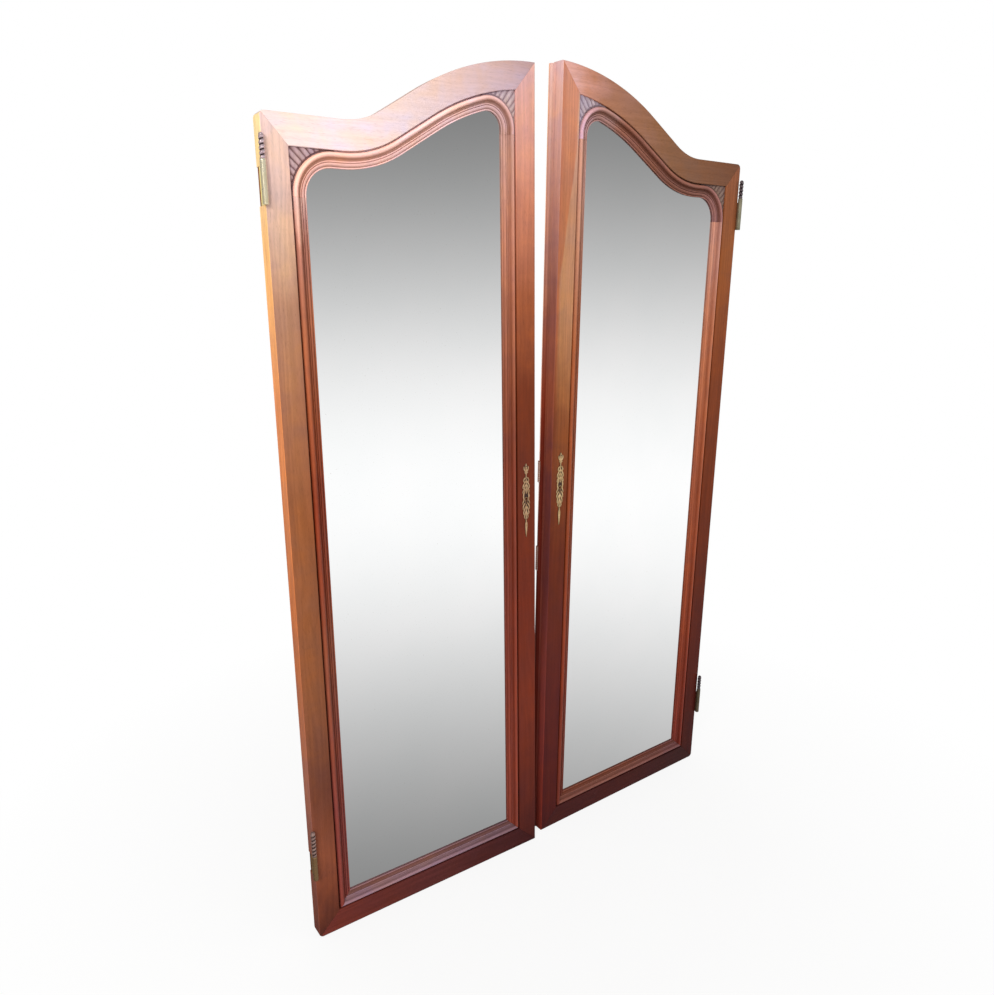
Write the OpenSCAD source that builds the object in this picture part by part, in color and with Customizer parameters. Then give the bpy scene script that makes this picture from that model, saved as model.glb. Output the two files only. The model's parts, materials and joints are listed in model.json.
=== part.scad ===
// A pair of panelled wardrobe doors with full-length mirrors, arched tops,
// carved corners, pierced keyhole plates and lift-off hinges.
// Each door is drawn upright in its own coordinates: u runs from the hanging
// edge to the meeting edge, y from the front face to the back, z upwards.

/* [Door] */
// Width of one door
door_w = 600; // [560:10:700]
// Height at the hanging edge
shoulder_h = 1705; // [1600:5:1800]
// How much higher the door is at the meeting edge
crown_rise = 155; // [130:5:200]
// Thickness of stiles and rails
door_t = 32; // [30:1:40]
// Length of the level shoulder before the curve starts
shoulder_flat = 155; // [130:5:170]
// Radius of the hollow part of the top curve
cove_r = 160; // [120:5:200]
// Length of the straight slope between the two curves
slope_len = 99; // [60:1:120]
// How far the curve's summit lies beyond the meeting edge
summit_out = 10; // [0:1:30]
// Rounding of the outer bottom corner
foot_r = 10; // [4:1:14]
// Rounding of the outer top corner
shoulder_r = 11; // [2:1:14]

/* [Frame] */
// Visible width of the stiles' flat face
stile_face = 50; // [44:1:60]
// Visible height of the bottom rail's flat face
base_face = 50; // [44:1:60]
// Visible height of the top rail's flat face
crown_face = 55; // [48:1:62]
// Width of the step that carries the moulding
step_w = 12; // [10:1:14]
// Depth of that step behind the front face
step_y = 10; // [9:0.5:11]
// Thickness of the tenons
tenon_t = 10; // [8:1:12]
// Depth of the tenons' front cheek behind the front face
tenon_y = 12; // [11:1:14]
// How far a tenon reaches in from the corner
tenon_reach = 44; // [36:1:44]
// Clearance all round a tenon
tenon_gap = 0.15; // [0.1:0.05:0.3]

/* [Meeting edges] */
// Width of the lip on the right door
lip_w = 13; // [8:1:16]
// Thickness of the lip
lip_t = 10; // [8:1:12]
// How far the lip's top is below the crown
lip_drop = 4; // [2:1:12]
// Clearance between lip and rebate
lip_gap = 1; // [0.5:0.5:2]

/* [Moulding] */
// Groove between a stile's face and the moulding
stile_reveal = 4; // [3:0.5:6]
// Groove between the top rail's face and the moulding
crown_reveal = 3; // [2:0.5:5]
// Width of the moulding
mould_w = 28; // [27:0.5:32]
// Outer radius of the moulding where it turns at the crown
mould_corner_r = 60; // [50:1:64]
// Outer radius of the moulding where it turns at the shoulder
shoulder_corner_r = 80; // [50:1:90]
// Straight tail of the top moulding below the hanging corner
hanging_tail = 3; // [2:1:40]
// Straight tail of the top moulding below the meeting corner
meeting_tail = 10; // [8:1:40]

/* [Carved corners] */
// Thickness of the carved corner's ground
carve_ground = 4.5; // [3:0.5:6]
// Height of the carved ribs above the ground
carve_rise = 3; // [1:0.5:4]
// Number of ribs in a carved corner
carve_ribs = 9; // [4:1:10]
// Gap between a carved corner and the moulding
carve_gap = 0.3; // [0.3:0.1:0.6]

/* [Mirror] */
// Thickness of the mirror glass
glass_t = 4; // [3:1:6]
// Thickness of the back board
board_t = 5; // [3:1:6]
// Clearance between the glass and the frame
glass_gap = 2; // [1:0.5:4]
// Clearance between the back board and the frame
board_gap = 1; // [0.5:0.5:3]
// Width of the battens that hold the glass
batten_w = 14; // [10:1:18]
// Thickness of the battens
batten_t = 8; // [5:1:8]
// Thickness of the batten pins
batten_pin_d = 1.4; // [1:0.2:2]
// Length of the batten pins
batten_pin_len = 28; // [22:1:32]

/* [Hinges] */
// Outer diameter of a hinge barrel
barrel_d = 11; // [10:0.5:13]
// Diameter of the bore that drops over the pin
bore_d = 8; // [6:0.5:8.5]
// Height of a hinge with its finial
hinge_h = 120; // [110:5:140]
// Height of one ring of the finial
ring_pitch = 8.7; // [7:0.1:10]
// Rings on the left door's lower finial
long_rings = 7; // [5:1:8]
// Rings on the other finials
short_rings = 5; // [3:1:6]
// Mouth of the lower hinge above the foot of the door
lower_mouth_z = 156; // [120:1:200]
// Mouth of the upper hinge below the shoulder
upper_mouth_drop = 158; // [150:1:200]
// Thickness of a hinge leaf
leaf_t = 2; // [1.5:0.1:3]
// Depth of a hinge leaf on the door's edge
leaf_y = 20; // [14:1:26]
// How far a leaf stops below the top of its barrel
leaf_drop = 10; // [0:1:16]
// Gap between a barrel and the front face
barrel_gap = 0.85; // [0.5:0.05:2]
// Hinge axis in from the hanging edge; below zero it stands outside
hinge_u = -1; // [-1.5:0.1:1.5]

/* [Keyhole plates] */
// Height of the keyhole above the foot of the door
keyhole_z = 924; // [880:1:960]
// How much higher the right door's plate sits
right_plate_rise = 20; // [0:1:30]
// Keyhole in from the meeting edge
keyhole_in = 27; // [24:1:30]
// Thickness of the keyhole plate
plate_t = 1.6; // [1:0.1:2.5]
// Diameter of the keyhole's round end
keyhole_d = 5; // [4:0.5:6]
// Width of the keyhole's slot
keyhole_slot = 2.6; // [2:0.1:3]

/* [Lock and bolts] */
// Height of the lock bolt above the keyhole
lock_rise = 42; // [30:1:50]
// Travel of the lock bolt
lock_throw = 12; // [8:1:14]
// Travel of the top and bottom bolts
flush_throw = 18; // [10:1:20]
// Width of the top and bottom bolts
flush_w = 12; // [10:1:14]
// Thickness of the top and bottom bolts
flush_t = 5; // [4:0.5:6]
// Length of the top and bottom bolts
flush_len = 210; // [200:5:260]
// Running clearance round a bolt
bolt_gap = 0.3; // [0.2:0.1:0.5]

/* [Standing] */
// How far the left door leans back, in degrees
lean = 2.2; // [0:0.1:5]
// How far the right door is turned, in degrees
turn = 2; // [0:0.1:5]
// Space between the doors at the foot
pair_gap = 33; // [16:1:80]
// How far the right door stands back
set_back = 18; // [0:1:60]

/* [Hidden] */

crown_h = shoulder_h + crown_rise;         // height at the meeting edge
round_fn = 48;
past = 1;                                  // how far a cut runs past a surface
frame_w = stile_face + step_w;             // full depth of a stile, across
glass_y = step_y + 3;                      // front of the glass
board_y = glass_y + glass_t;
batten_y = board_y + board_t;
mould_side = stile_face + stile_reveal;    // outer edge of the upright mouldings
mould_base = base_face + stile_reveal;
mould_crown = crown_face + crown_reveal;

// The top edge is an arc, a straight slope and a second arc, each tangent to the next
run = door_w + summit_out - shoulder_flat;
crest_r = (run * run + crown_rise * crown_rise - slope_len * slope_len) / (2 * crown_rise)
  - cove_r;
cove_c = [shoulder_flat, shoulder_h + cove_r];
crest_c = [door_w + summit_out, crown_h - crest_r];
slope = atan2(crest_c[1] - cove_c[1], crest_c[0] - cove_c[0])
  + asin((cove_r + crest_r) / norm(crest_c - cove_c));
cove_steps = 8;
crest_steps = 14;

function cove_point(a, d) = cove_c + (cove_r + d) * [sin(a), -cos(a)];
function crest_point(a, d) = crest_c + (crest_r - d) * [-sin(a), cos(a)];
function crest_angle(u, d) = asin((crest_c[0] - u) / (crest_r - d));
function mix(a, b, t) = a + (b - a) * t;

// Points of the top edge, d inside it, up to the upright line at end_u
function top_edge(d, end_u) = concat(
  [for (i = [0:cove_steps]) cove_point(slope * i / cove_steps, d)],
  [for (i = [0:crest_steps])
    crest_point(mix(slope, crest_angle(end_u, d), i / crest_steps), d)]);

// Height of the top edge, d inside it, at u
function top_z(u, d) = let(a = cove_point(slope, d), b = crest_point(slope, d))
  u < shoulder_flat ? shoulder_h - d :
  u < a[0] ? cove_c[1] - sqrt(pow(cove_r + d, 2) - pow(u - shoulder_flat, 2)) :
  u < b[0] ? a[1] + (u - a[0]) * tan(slope) :
  crest_c[1] + sqrt(pow(crest_r - d, 2) - pow(u - crest_c[0], 2));

// Outline inset by side at the sides, base at the foot and d at the top
function panel(side, base, d) = concat(
  [[side, base], [side, shoulder_h - d]],
  top_edge(d, door_w - side),
  [[door_w - side, base]]);

// Draws a flat shape in u and z, solid from y0 to y1
module slab(y0, y1) {
  translate([0, y1, 0]) rotate([90, 0, 0]) linear_extrude(y1 - y0) children();
}

// What rounding takes off a corner at the origin, with the door towards +u and +z
module corner_waste(r) {
  difference() {
    translate([-past, -past]) square(r + past);
    translate([r, r]) circle(r, $fn = round_fn);
  }
}

module door_outline() {
  difference() {
    polygon(panel(0, 0, 0));
    corner_waste(foot_r);
    translate([0, shoulder_h]) mirror([0, 1]) corner_waste(shoulder_r);
  }
}

// ---- Stiles and rails: one ring, parted along the mitres ----
crown_mitre = [-stile_face, top_z(door_w - stile_face, crown_face) - crown_h];
shoulder_mitre = [stile_face, -crown_face];
foot_mitre = [stile_face, base_face];
mitre_run = 1.7;                           // mitre planes go this much past the face
shoulder_corner = [0, shoulder_h];
crown_corner = [door_w, crown_h];

hanging_zone = [
  [-past, -past * base_face / stile_face], mitre_run * foot_mitre,
  shoulder_corner + mitre_run * shoulder_mitre,
  shoulder_corner + past / stile_face * [-stile_face, crown_face]];
meeting_zone = [
  crown_corner, crown_corner + mitre_run * crown_mitre,
  [door_w, 0] + mitre_run * [-foot_mitre[0], foot_mitre[1]], [door_w, 0],
  [door_w + 2 * lip_w, 0], [door_w + 2 * lip_w, crown_h]];
top_zone = [
  shoulder_corner, shoulder_corner + mitre_run * shoulder_mitre,
  [2 * stile_face, shoulder_h - crown_rise], [door_w - 2 * stile_face, shoulder_h - crown_rise],
  crown_corner + mitre_run * crown_mitre, crown_corner,
  [door_w, crown_h + crown_rise], [0, crown_h + crown_rise]];
bottom_zone = [
  [0, 0], mitre_run * foot_mitre,
  [door_w, 0] + mitre_run * [-foot_mitre[0], foot_mitre[1]], [door_w, 0],
  [door_w, -past], [0, -past]];

module frame_piece(zone) {
  slab(0, step_y) intersection() {
    polygon(zone);
    difference() {
      door_outline();
      polygon(panel(stile_face, base_face, crown_face));
    }
  }
  slab(step_y, door_t) intersection() {
    polygon(zone);
    difference() {
      door_outline();
      polygon(panel(frame_w, base_face + step_w, crown_face + step_w));
    }
  }
}

// Tenon blocks of the rails; each entry is [u0, u1, z0, z1]
top_tenon_h = 24;
shoulder_tenon = [frame_w - tenon_reach, frame_w,
  shoulder_h - crown_face - 8, shoulder_h - crown_face - 8 + top_tenon_h];
crown_tenon = [door_w - frame_w - 4, door_w - frame_w + tenon_reach,
  crown_h + crown_mitre[1], crown_h + crown_mitre[1] + top_tenon_h];
foot_tenon = [frame_w - tenon_reach, frame_w, base_face / 2, base_face];
heel_tenon = [door_w - frame_w, door_w - frame_w + tenon_reach, base_face / 2, base_face];

module tenon(b, g) {
  translate([b[0] - g, tenon_y - g, b[2] - g])
    cube([b[1] - b[0] + 2 * g, tenon_t + 2 * g, b[3] - b[2] + 2 * g]);
}

// The left door's rebate, which the right door's lip fills
module meeting_rebate() {
  translate([door_w - lip_w - lip_gap, door_t - lip_t - lip_gap, -past])
    cube([lip_w + lip_gap + past, lip_t + lip_gap + past, crown_h + 2 * past]);
}

module meeting_lip() {
  slab(door_t - lip_t, door_t) intersection() {
    polygon(meeting_zone);
    translate([door_w - past, 0]) square([lip_w + past, crown_h - lip_drop]);
  }
}

// Where the screws of the doors' back fittings sit: [u, z] pairs
lock_z = keyhole_z + lock_rise;
lock_case_u = door_w - frame_w + 2;
lock_case_w = frame_w - lip_w - lip_gap - 4;
lock_case_z = keyhole_z - 16;
lock_case_h = lock_rise + 34;
lock_case_t = 13;
lock_wall = 1.5;
forend_t = 2;
lock_screw_inset = 5;
lock_screw_spots = [
  for (u = [lock_screw_inset, lock_case_w - lock_screw_inset],
       z = [lock_screw_inset, lock_case_h - lock_screw_inset])
    [lock_case_u + u, lock_case_z + z]];

flush_u = door_w - frame_w / 2;
guide_w = 30;
guide_t = 2;
guide_inset = 8;
strap_w = 14;
strap_t = 2;
strap_in = guide_inset + 4;                // from a guide's end to its strap
knob_d = 9;
knob_len = 12;
knob_room = 16.5;                          // left between a strap and the knob at its limit
guide_h = 2 * (strap_in + strap_w + flush_throw + knob_room) + knob_d;
guide_top_z = top_z(door_w - frame_w, 0) - 60 - guide_h;
guide_bottom_z = 60;
guide_screw_spots = [
  for (z = [guide_top_z, guide_bottom_z],
       s = [[-1, 0], [1, 0], [-1, 1], [1, 1]])
    [flush_u + s[0] * (guide_w / 2 - 4), z + guide_inset / 2 + s[1] * (guide_h - guide_inset)]];

keep_w = 20;
keep_t = 1.5;
keep_wrap = 6;                             // how far a keep wraps forward over the lip
upper_keep_z = keyhole_z + 32;
upper_keep_h = 52;
lower_keep_drop = 190;                     // foot of the lower keep below the keyhole
lower_keep_z = keyhole_z - lower_keep_drop;
lower_keep_h = 62;
keep_screw_u = door_w - 2;
keep_screw_spots = [
  for (k = [[upper_keep_z, upper_keep_h], [lower_keep_z, lower_keep_h]], t = [0.2, 0.8])
    [keep_screw_u, k[0] + k[1] * t]];

screw_d = 3;
screw_head_d = 5.6;
screw_head_h = 1.5;
screw_len = 16;

// A countersunk screw along +y with its flat head at the origin. Its hole is the
// same solid, which also runs out past the head
module screw(len, over) {
  rotate([-90, 0, 0]) union() {
    if (over > 0) translate([0, 0, -over]) cylinder(h = over, d = screw_head_d, $fn = 24);
    cylinder(h = screw_head_h, d1 = screw_head_d, d2 = screw_d, $fn = 24);
    cylinder(h = len, d = screw_d, $fn = 24);
  }
}

// Screws driven into the back of a stile, heads flush with the fitting's face
module back_screws(spots, head_y, len, over) {
  for (p = spots) translate([p[0], head_y, p[1]]) mirror([0, 1, 0]) screw(len, over);
}

module keyhole_shape(grow) {
  circle(d = keyhole_d + 2 * grow, $fn = round_fn);
  translate([-keyhole_slot / 2 - grow, -keyhole_d * 1.6 - grow])
    square([keyhole_slot + 2 * grow, keyhole_d * 1.6]);
}

module keyhole_cut(depth, rise) {
  slab(-past, depth) translate([door_w - keyhole_in, keyhole_z + rise]) keyhole_shape(0.5);
}

module hanging_stile(lower_rings) {
  color("sienna") difference() {
    frame_piece(hanging_zone);
    tenon(shoulder_tenon, tenon_gap);
    tenon(foot_tenon, tenon_gap);
    hinge_recess(upper_mouth_z, short_rings);
    hinge_recess(lower_mouth_z, lower_rings);
    hinge_screw_set(lower_rings, past);
    batten_pin_set("hanging", past);
  }
}

module left_meeting() {
  color("sienna") difference() {
    frame_piece(meeting_zone);
    meeting_rebate();
    tenon(crown_tenon, tenon_gap);
    tenon(heel_tenon, tenon_gap);
    keyhole_cut(door_t + past, 0);
    plate_pin_set(0);
    batten_pin_set("meeting", past);
    back_screws(lock_screw_spots, door_t + lock_case_t, lock_screw_len, past);
  }
}

module right_meeting() {
  color("sienna") difference() {
    union() {
      frame_piece(meeting_zone);
      meeting_lip();
    }
    tenon(crown_tenon, tenon_gap);
    tenon(heel_tenon, tenon_gap);
    keyhole_cut(8, right_plate_rise);
    plate_pin_set(right_plate_rise);
    batten_pin_set("meeting", past);
    fitting_screw_set(past);
  }
}

module top_rail(rebated) {
  color("sienna") difference() {
    union() {
      frame_piece(top_zone);
      tenon(shoulder_tenon, 0);
      tenon(crown_tenon, 0);
    }
    if (rebated) meeting_rebate();
    batten_pin_set("top", past);
  }
}

module bottom_rail(rebated) {
  color("sienna") difference() {
    union() {
      frame_piece(bottom_zone);
      tenon(foot_tenon, 0);
      tenon(heel_tenon, 0);
    }
    if (rebated) meeting_rebate();
    batten_pin_set("bottom", past);
  }
}

// ---- Moulding: bead, hollow, reed, ovolo and inner bead, from outside in ----
function arc(cx, cy, r, a0, a1, n) =
  [for (i = [0:n]) let(a = mix(a0, a1, i / n)) [cx + r * cos(a), cy + r * sin(a)]];

bead_r = 5;
hollow_r = 4.5;
reed_r = 1.25;
ovolo_r = 6.5;
inner_bead_r = 1.5;
flat_w = mould_w - 2 * bead_r - hollow_r - 2 * reed_r - ovolo_r - 2 * inner_bead_r;
reed_m = 2 * bead_r + hollow_r + reed_r;
ovolo_m = reed_m + reed_r + flat_w;
mould_back = step_w - min(stile_reveal, crown_reveal) + 0.2;   // clears the frame's edge

// Depths of the profile's parts behind the front face
bead_y = 3;
reed_y = 7.2;
flat_y = 8.4;
ovolo_y = 13;
inner_bead_y = 10.6;
// Angles where the outer hollow, the ovolo and the inner bead meet their neighbours
hollow_a = 165;
ovolo_a = -28;
inner_bead_a = 195;

// Points are [distance in from the outer edge, depth behind the front face]
mould_profile = concat(
  [[0, step_y]],
  arc(bead_r, bead_y, bead_r, 180, 360, 8),
  arc(2 * bead_r + hollow_r, bead_y, hollow_r, hollow_a, 90, 3),
  arc(reed_m, reed_y, reed_r, 180, 360, 3),
  [[reed_m + reed_r + 0.1, flat_y], [ovolo_m, flat_y]],
  arc(ovolo_m + 0.1, ovolo_y, ovolo_r, -90, ovolo_a, 4),
  [[mould_w - 2 * inner_bead_r, inner_bead_y + 0.2]],
  arc(mould_w - inner_bead_r, inner_bead_y, inner_bead_r, inner_bead_a, 360, 4),
  [[mould_w, glass_y], [mould_back, glass_y], [mould_back, step_y]]);

// A station is [centre, radius, sign, direction]; the moulding's point at m
// is centre + (radius + sign * m) * direction
shoulder_turn = [mould_side + shoulder_corner_r,
  shoulder_h - mould_crown - shoulder_corner_r];
crown_turn_u = door_w - mould_side - mould_corner_r;
crown_turn_r = crest_r - mould_crown - mould_corner_r;
crown_turn_a = asin((crest_c[0] - crown_turn_u) / crown_turn_r);
crown_turn = [crown_turn_u, crest_c[1] + crown_turn_r * cos(crown_turn_a)];
hanging_butt_z = shoulder_turn[1] - hanging_tail;
meeting_butt_z = crown_turn[1] - meeting_tail;
turn_steps = 9;

top_stations = concat(
  [[[mould_side, hanging_butt_z], 0, 1, [1, 0]]],
  [for (i = [0:turn_steps]) let(a = 90 * i / turn_steps)
    [shoulder_turn, shoulder_corner_r, -1, [-cos(a), sin(a)]]],
  [for (i = [0:cove_steps]) let(a = slope * i / cove_steps)
    [cove_c, cove_r + mould_crown, 1, [sin(a), -cos(a)]]],
  [for (i = [0:6]) let(a = mix(slope, crown_turn_a, i / 6))
    [crest_c, crest_r - mould_crown, -1, [-sin(a), cos(a)]]],
  [for (i = [1:turn_steps]) let(a = mix(-crown_turn_a, 90, i / turn_steps))
    [crown_turn, mould_corner_r, -1, [sin(a), cos(a)]]],
  [[[door_w - mould_side, meeting_butt_z], 0, 1, [-1, 0]]]);

module sweep(stations, profile) {
  n = len(profile);
  last = len(stations) - 1;
  points = [for (s = stations, p = profile)
    let(q = s[0] + (s[1] + s[2] * p[0]) * s[3]) [q[0], p[1], q[1]]];
  sides = [for (i = [0:last - 1], j = [0:n - 1], k = [0, 1])
    let(a = i * n + j, b = i * n + (j + 1) % n)
      k == 0 ? [a, b, b + n] : [a, b + n, a + n]];
  ends = [[for (j = [0:n - 1]) n - 1 - j], [for (j = [0:n - 1]) last * n + j]];
  polyhedron(points, concat(sides, ends));
}

module top_moulding() {
  color("peru") sweep(top_stations, mould_profile);
}

module mould_bar(length) {
  linear_extrude(length) polygon(mould_profile);
}

module hanging_moulding() {
  color("peru") intersection() {
    translate([mould_side, 0, 0]) mould_bar(hanging_butt_z);
    slab(-bead_r, door_t) polygon([
      [mould_side, mould_base], [mould_side + mould_w, mould_base + mould_w],
      [mould_side + mould_w, shoulder_h], [mould_side, shoulder_h]]);
  }
}

module meeting_moulding() {
  color("peru") intersection() {
    translate([door_w - mould_side, 0, 0]) mirror([1, 0, 0]) mould_bar(meeting_butt_z);
    slab(-bead_r, door_t) polygon([
      [door_w - mould_side, mould_base], [door_w - mould_side - mould_w, mould_base + mould_w],
      [door_w - mould_side - mould_w, crown_h], [door_w - mould_side, crown_h]]);
  }
}

module bottom_moulding() {
  color("peru") intersection() {
    translate([0, 0, mould_base]) rotate([0, 90, 0]) mirror([1, 0, 0]) mould_bar(door_w);
    slab(-bead_r, door_t) polygon([
      [mould_side, mould_base], [mould_side + mould_w, mould_base + mould_w],
      [door_w - mould_side - mould_w, mould_base + mould_w],
      [door_w - mould_side, mould_base]]);
  }
}

// ---- Carved corners: a ground with ribs that fan out from the moulding ----
hanging_carve_r = shoulder_corner_r + carve_gap;
meeting_carve_r = mould_corner_r + carve_gap;
carve_tail = 27;
carve_edge_a = 2;                          // angle left free at a stile's edge

hanging_carve_shape = concat(
  [[stile_face, shoulder_turn[1] - carve_tail],
   [stile_face, shoulder_h - crown_face],
   [shoulder_turn[0] + 7, shoulder_h - crown_face],
   [shoulder_turn[0] + 7, shoulder_turn[1] + hanging_carve_r]],
  [for (i = [0:16]) let(a = 90 - 90 * i / 16)
    shoulder_turn + hanging_carve_r * [-cos(a), sin(a)]],
  [[mould_side - carve_gap, shoulder_turn[1] - carve_tail]]);

crown_carve_edge = [for (i = [0:8])
  crest_point(
    mix(crown_turn_a, crest_angle(door_w - stile_face, crown_face + carve_gap), i / 8),
    crown_face + carve_gap)];
meeting_carve_shape = concat(
  crown_carve_edge,
  [[door_w - stile_face, crown_turn[1] - carve_tail],
   [door_w - mould_side + carve_gap, crown_turn[1] - carve_tail]],
  [for (i = [0:16]) let(a = mix(90, -crown_turn_a, i / 16))
    crown_turn + meeting_carve_r * [sin(a), cos(a)]]);

// A rib leaves the moulding at angle a and runs off at angle b, tapering
module carve_rib(centre, r, a, b, width, reach) {
  translate(centre + r * [cos(a), sin(a)]) rotate([0, 0, b]) polygon([
    [-width, -width / 2], [reach, -width / 4], [reach, width / 4], [-width, width / 2]]);
}
carve_lean = 0.35;                         // how far the ribs fan out, 1 is fully

module carved_corner(shape, centre, r, a0, a1) {
  ground_y = step_y - carve_ground;
  color("rosybrown") union() {
    slab(ground_y, step_y) polygon(shape);
    slab(ground_y - carve_rise, ground_y) intersection() {
      polygon(shape);
      for (i = [0:carve_ribs - 1]) {
        a = mix(a0, a1, (i + 0.5) / carve_ribs);
        carve_rib(centre, r, a, mix((a0 + a1) / 2, a, carve_lean),
          r * (a1 - a0) / carve_ribs * PI / 180 * 0.62, r);
      }
    }
  }
}

module hanging_spandrel() {
  carved_corner(hanging_carve_shape, shoulder_turn, hanging_carve_r,
    90 + carve_edge_a, 180 - carve_edge_a);
}

module meeting_spandrel() {
  carved_corner(meeting_carve_shape, crown_turn, meeting_carve_r,
    carve_edge_a, 90 + crown_turn_a);
}

// ---- Mirror, back board and battens ----
module mirror_glass() {
  color("lightsteelblue") slab(glass_y, board_y)
    polygon(panel(frame_w + glass_gap, base_face + step_w + glass_gap,
      crown_face + step_w + glass_gap));
}

module back_board() {
  color("tan") slab(board_y, batten_y)
    polygon(panel(frame_w + board_gap, base_face + step_w + board_gap,
      crown_face + step_w + board_gap));
}

batten_in = frame_w + batten_w;

module batten(part) {
  color("burlywood") difference() {
    slab(batten_y, batten_y + batten_t) difference() {
      polygon(panel(frame_w, base_face + step_w, crown_face + step_w));
      if (part == "hanging") {
        translate([batten_in, 0]) square([door_w, crown_h]);
      } else if (part == "meeting") {
        translate([-past, 0]) square([door_w - batten_in + past, crown_h]);
      } else {
        square([batten_in, crown_h]);
        translate([door_w - batten_in, 0]) square([batten_in, crown_h]);
        if (part == "top") {
          polygon(panel(0, 0, crown_face + step_w + batten_w));
        } else {
          translate([0, base_face + step_w + batten_w]) square([door_w, crown_h]);
        }
      }
    }
    batten_pin_set(part, past);
  }
}

upright_pins = 5;
cross_pins = 3;
pin_end_gap = 90;
pin_y = batten_y + batten_t / 2;

// A pin lies along +z from its flat head; its hole also runs out past the head
module pin(over) {
  translate([0, 0, -over]) cylinder(h = batten_pin_len + over, d = batten_pin_d, $fn = 16);
}

module batten_pin_set(part, over) {
  if (part == "hanging" || part == "all") {
    for (i = [0:upright_pins - 1]) {
      translate([batten_in, pin_y, mix(pin_end_gap + batten_in,
          shoulder_h - crown_face - batten_in - pin_end_gap, i / (upright_pins - 1))])
        rotate([0, -90, 0]) pin(over);
    }
  }
  if (part == "meeting" || part == "all") {
    for (i = [0:upright_pins - 1]) {
      translate([door_w - batten_in, pin_y, mix(pin_end_gap + batten_in,
          crown_h - crown_face - batten_in - pin_end_gap, i / (upright_pins - 1))])
        rotate([0, 90, 0]) pin(over);
    }
  }
  if (part == "top" || part == "all") {
    for (i = [0:cross_pins - 1]) {
      u = mix(batten_in + pin_end_gap / 3, door_w - batten_in - pin_end_gap / 2,
        i / (cross_pins - 1));
      translate([u, pin_y, top_z(u, crown_face + step_w + batten_w) + pin_head_sink])
        pin(over);
    }
  }
  if (part == "bottom" || part == "all") {
    for (i = [0:cross_pins - 1]) {
      u = mix(batten_in + pin_end_gap / 2, door_w - batten_in - pin_end_gap / 2,
        i / (cross_pins - 1));
      translate([u, pin_y, base_face + step_w + batten_w]) mirror([0, 0, 1]) pin(over);
    }
  }
}
pin_head_sink = 0.6;

module batten_pins() {
  color("dimgray") batten_pin_set("all", 0);
}

// ---- Keyhole plate: pierced scrollwork, drawn round the keyhole ----
// Scroll discs as [across, up, radius]; each is drawn on both sides
plate_discs = [
  [4.2, 15, 3.6], [7.4, 6, 3.4], [8, -3, 3], [6.4, -11, 3.6], [6.8, -21, 3.6],
  [5, -30, 3.8], [4.6, -40, 3.2], [2, -47, 2.6], [6.8, 24, 3], [4.2, 31, 3.4],
  [6, 39, 2.8], [3, 46, 2.8], [5.4, 62, 3.2], [4.4, 71, 3.4], [2, 80, 3.6]];
// Openings pierced through the plate, drawn on both sides
plate_holes = [
  [4.4, 24, 1.4], [2.6, 38, 1.3], [4.2, -21, 1.4], [3, -34, 1.4], [2.6, 68, 1.2]];
plate_spine = [
  [0, -94], [2.4, -86], [4.4, -74], [4.6, -66], [3, -56], [2, -50], [5, -40], [6, -28],
  [6.5, -14], [7.5, 0], [6, 14], [5, 28], [4, 42], [1.8, 50], [1.6, 55], [4, 64],
  [4, 76], [0, 86]];

module plate_shape() {
  difference() {
    union() {
      polygon(concat(plate_spine,
        [for (i = [len(plate_spine) - 2:-1:1]) [-plate_spine[i][0], plate_spine[i][1]]]));
      for (d = plate_discs, s = [-1, 1]) {
        translate([s * d[0], d[1]]) circle(d[2], $fn = 24);
      }
    }
    for (h = plate_holes, s = [-1, 1]) {
      translate([s * h[0], h[1]]) circle(h[2], $fn = 16);
    }
    keyhole_shape(0);
  }
}

module keyhole_plate(rise) {
  color("goldenrod") difference() {
    slab(-plate_t, 0) translate([door_w - keyhole_in, keyhole_z + rise]) plate_shape();
    plate_pin_set(rise);
  }
}

plate_pin_spots = [78, 50, -50];
plate_pin_d = 1.2;
plate_pin_len = 12;

module plate_pin_set(rise) {
  for (z = plate_pin_spots) {
    translate([door_w - keyhole_in, -plate_t, keyhole_z + rise + z]) rotate([-90, 0, 0]) union() {
      translate([0, 0, -0.6]) cylinder(h = 0.6, d1 = 1.4, d2 = 2.4, $fn = 24);
      cylinder(h = plate_pin_len, d = plate_pin_d, $fn = 24);
    }
  }
}

module keyhole_plate_pins(rise) {
  color("goldenrod") plate_pin_set(rise);
}

// ---- Lift-off hinges ----
hinge_y = -barrel_gap - barrel_d / 2;
upper_mouth_z = shoulder_h - upper_mouth_drop;
spigot_d = 6;
spigot_len = 8;
spigot_gap = 0.05;
bore_end = 12;                             // solid metal above the bore
function barrel_h(rings) = hinge_h - rings * ring_pitch;
function leaf_h(rings) = barrel_h(rings) - leaf_drop;

module hinge_recess(mouth_z, rings) {
  translate([-past, -past, mouth_z])
    cube([leaf_t + past, door_t + 2 * past, leaf_h(rings)]);
}

module hinge(mouth_z, rings) {
  color("darkkhaki") difference() {
    union() {
      translate([hinge_u, hinge_y, mouth_z])
        cylinder(h = barrel_h(rings), d = barrel_d, $fn = round_fn);
      translate([0, hinge_y, mouth_z]) cube([leaf_t, leaf_y - hinge_y, leaf_h(rings)]);
    }
    translate([hinge_u, hinge_y, mouth_z - past])
      cylinder(h = barrel_h(rings) - bore_end + past, d = bore_d, $fn = round_fn);
    translate([hinge_u, hinge_y, mouth_z + barrel_h(rings) - spigot_len - spigot_gap])
      cylinder(h = spigot_len + past, d = spigot_d + 2 * spigot_gap, $fn = round_fn);
    hinge_screws_at(mouth_z, rings, past);
  }
}

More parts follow.
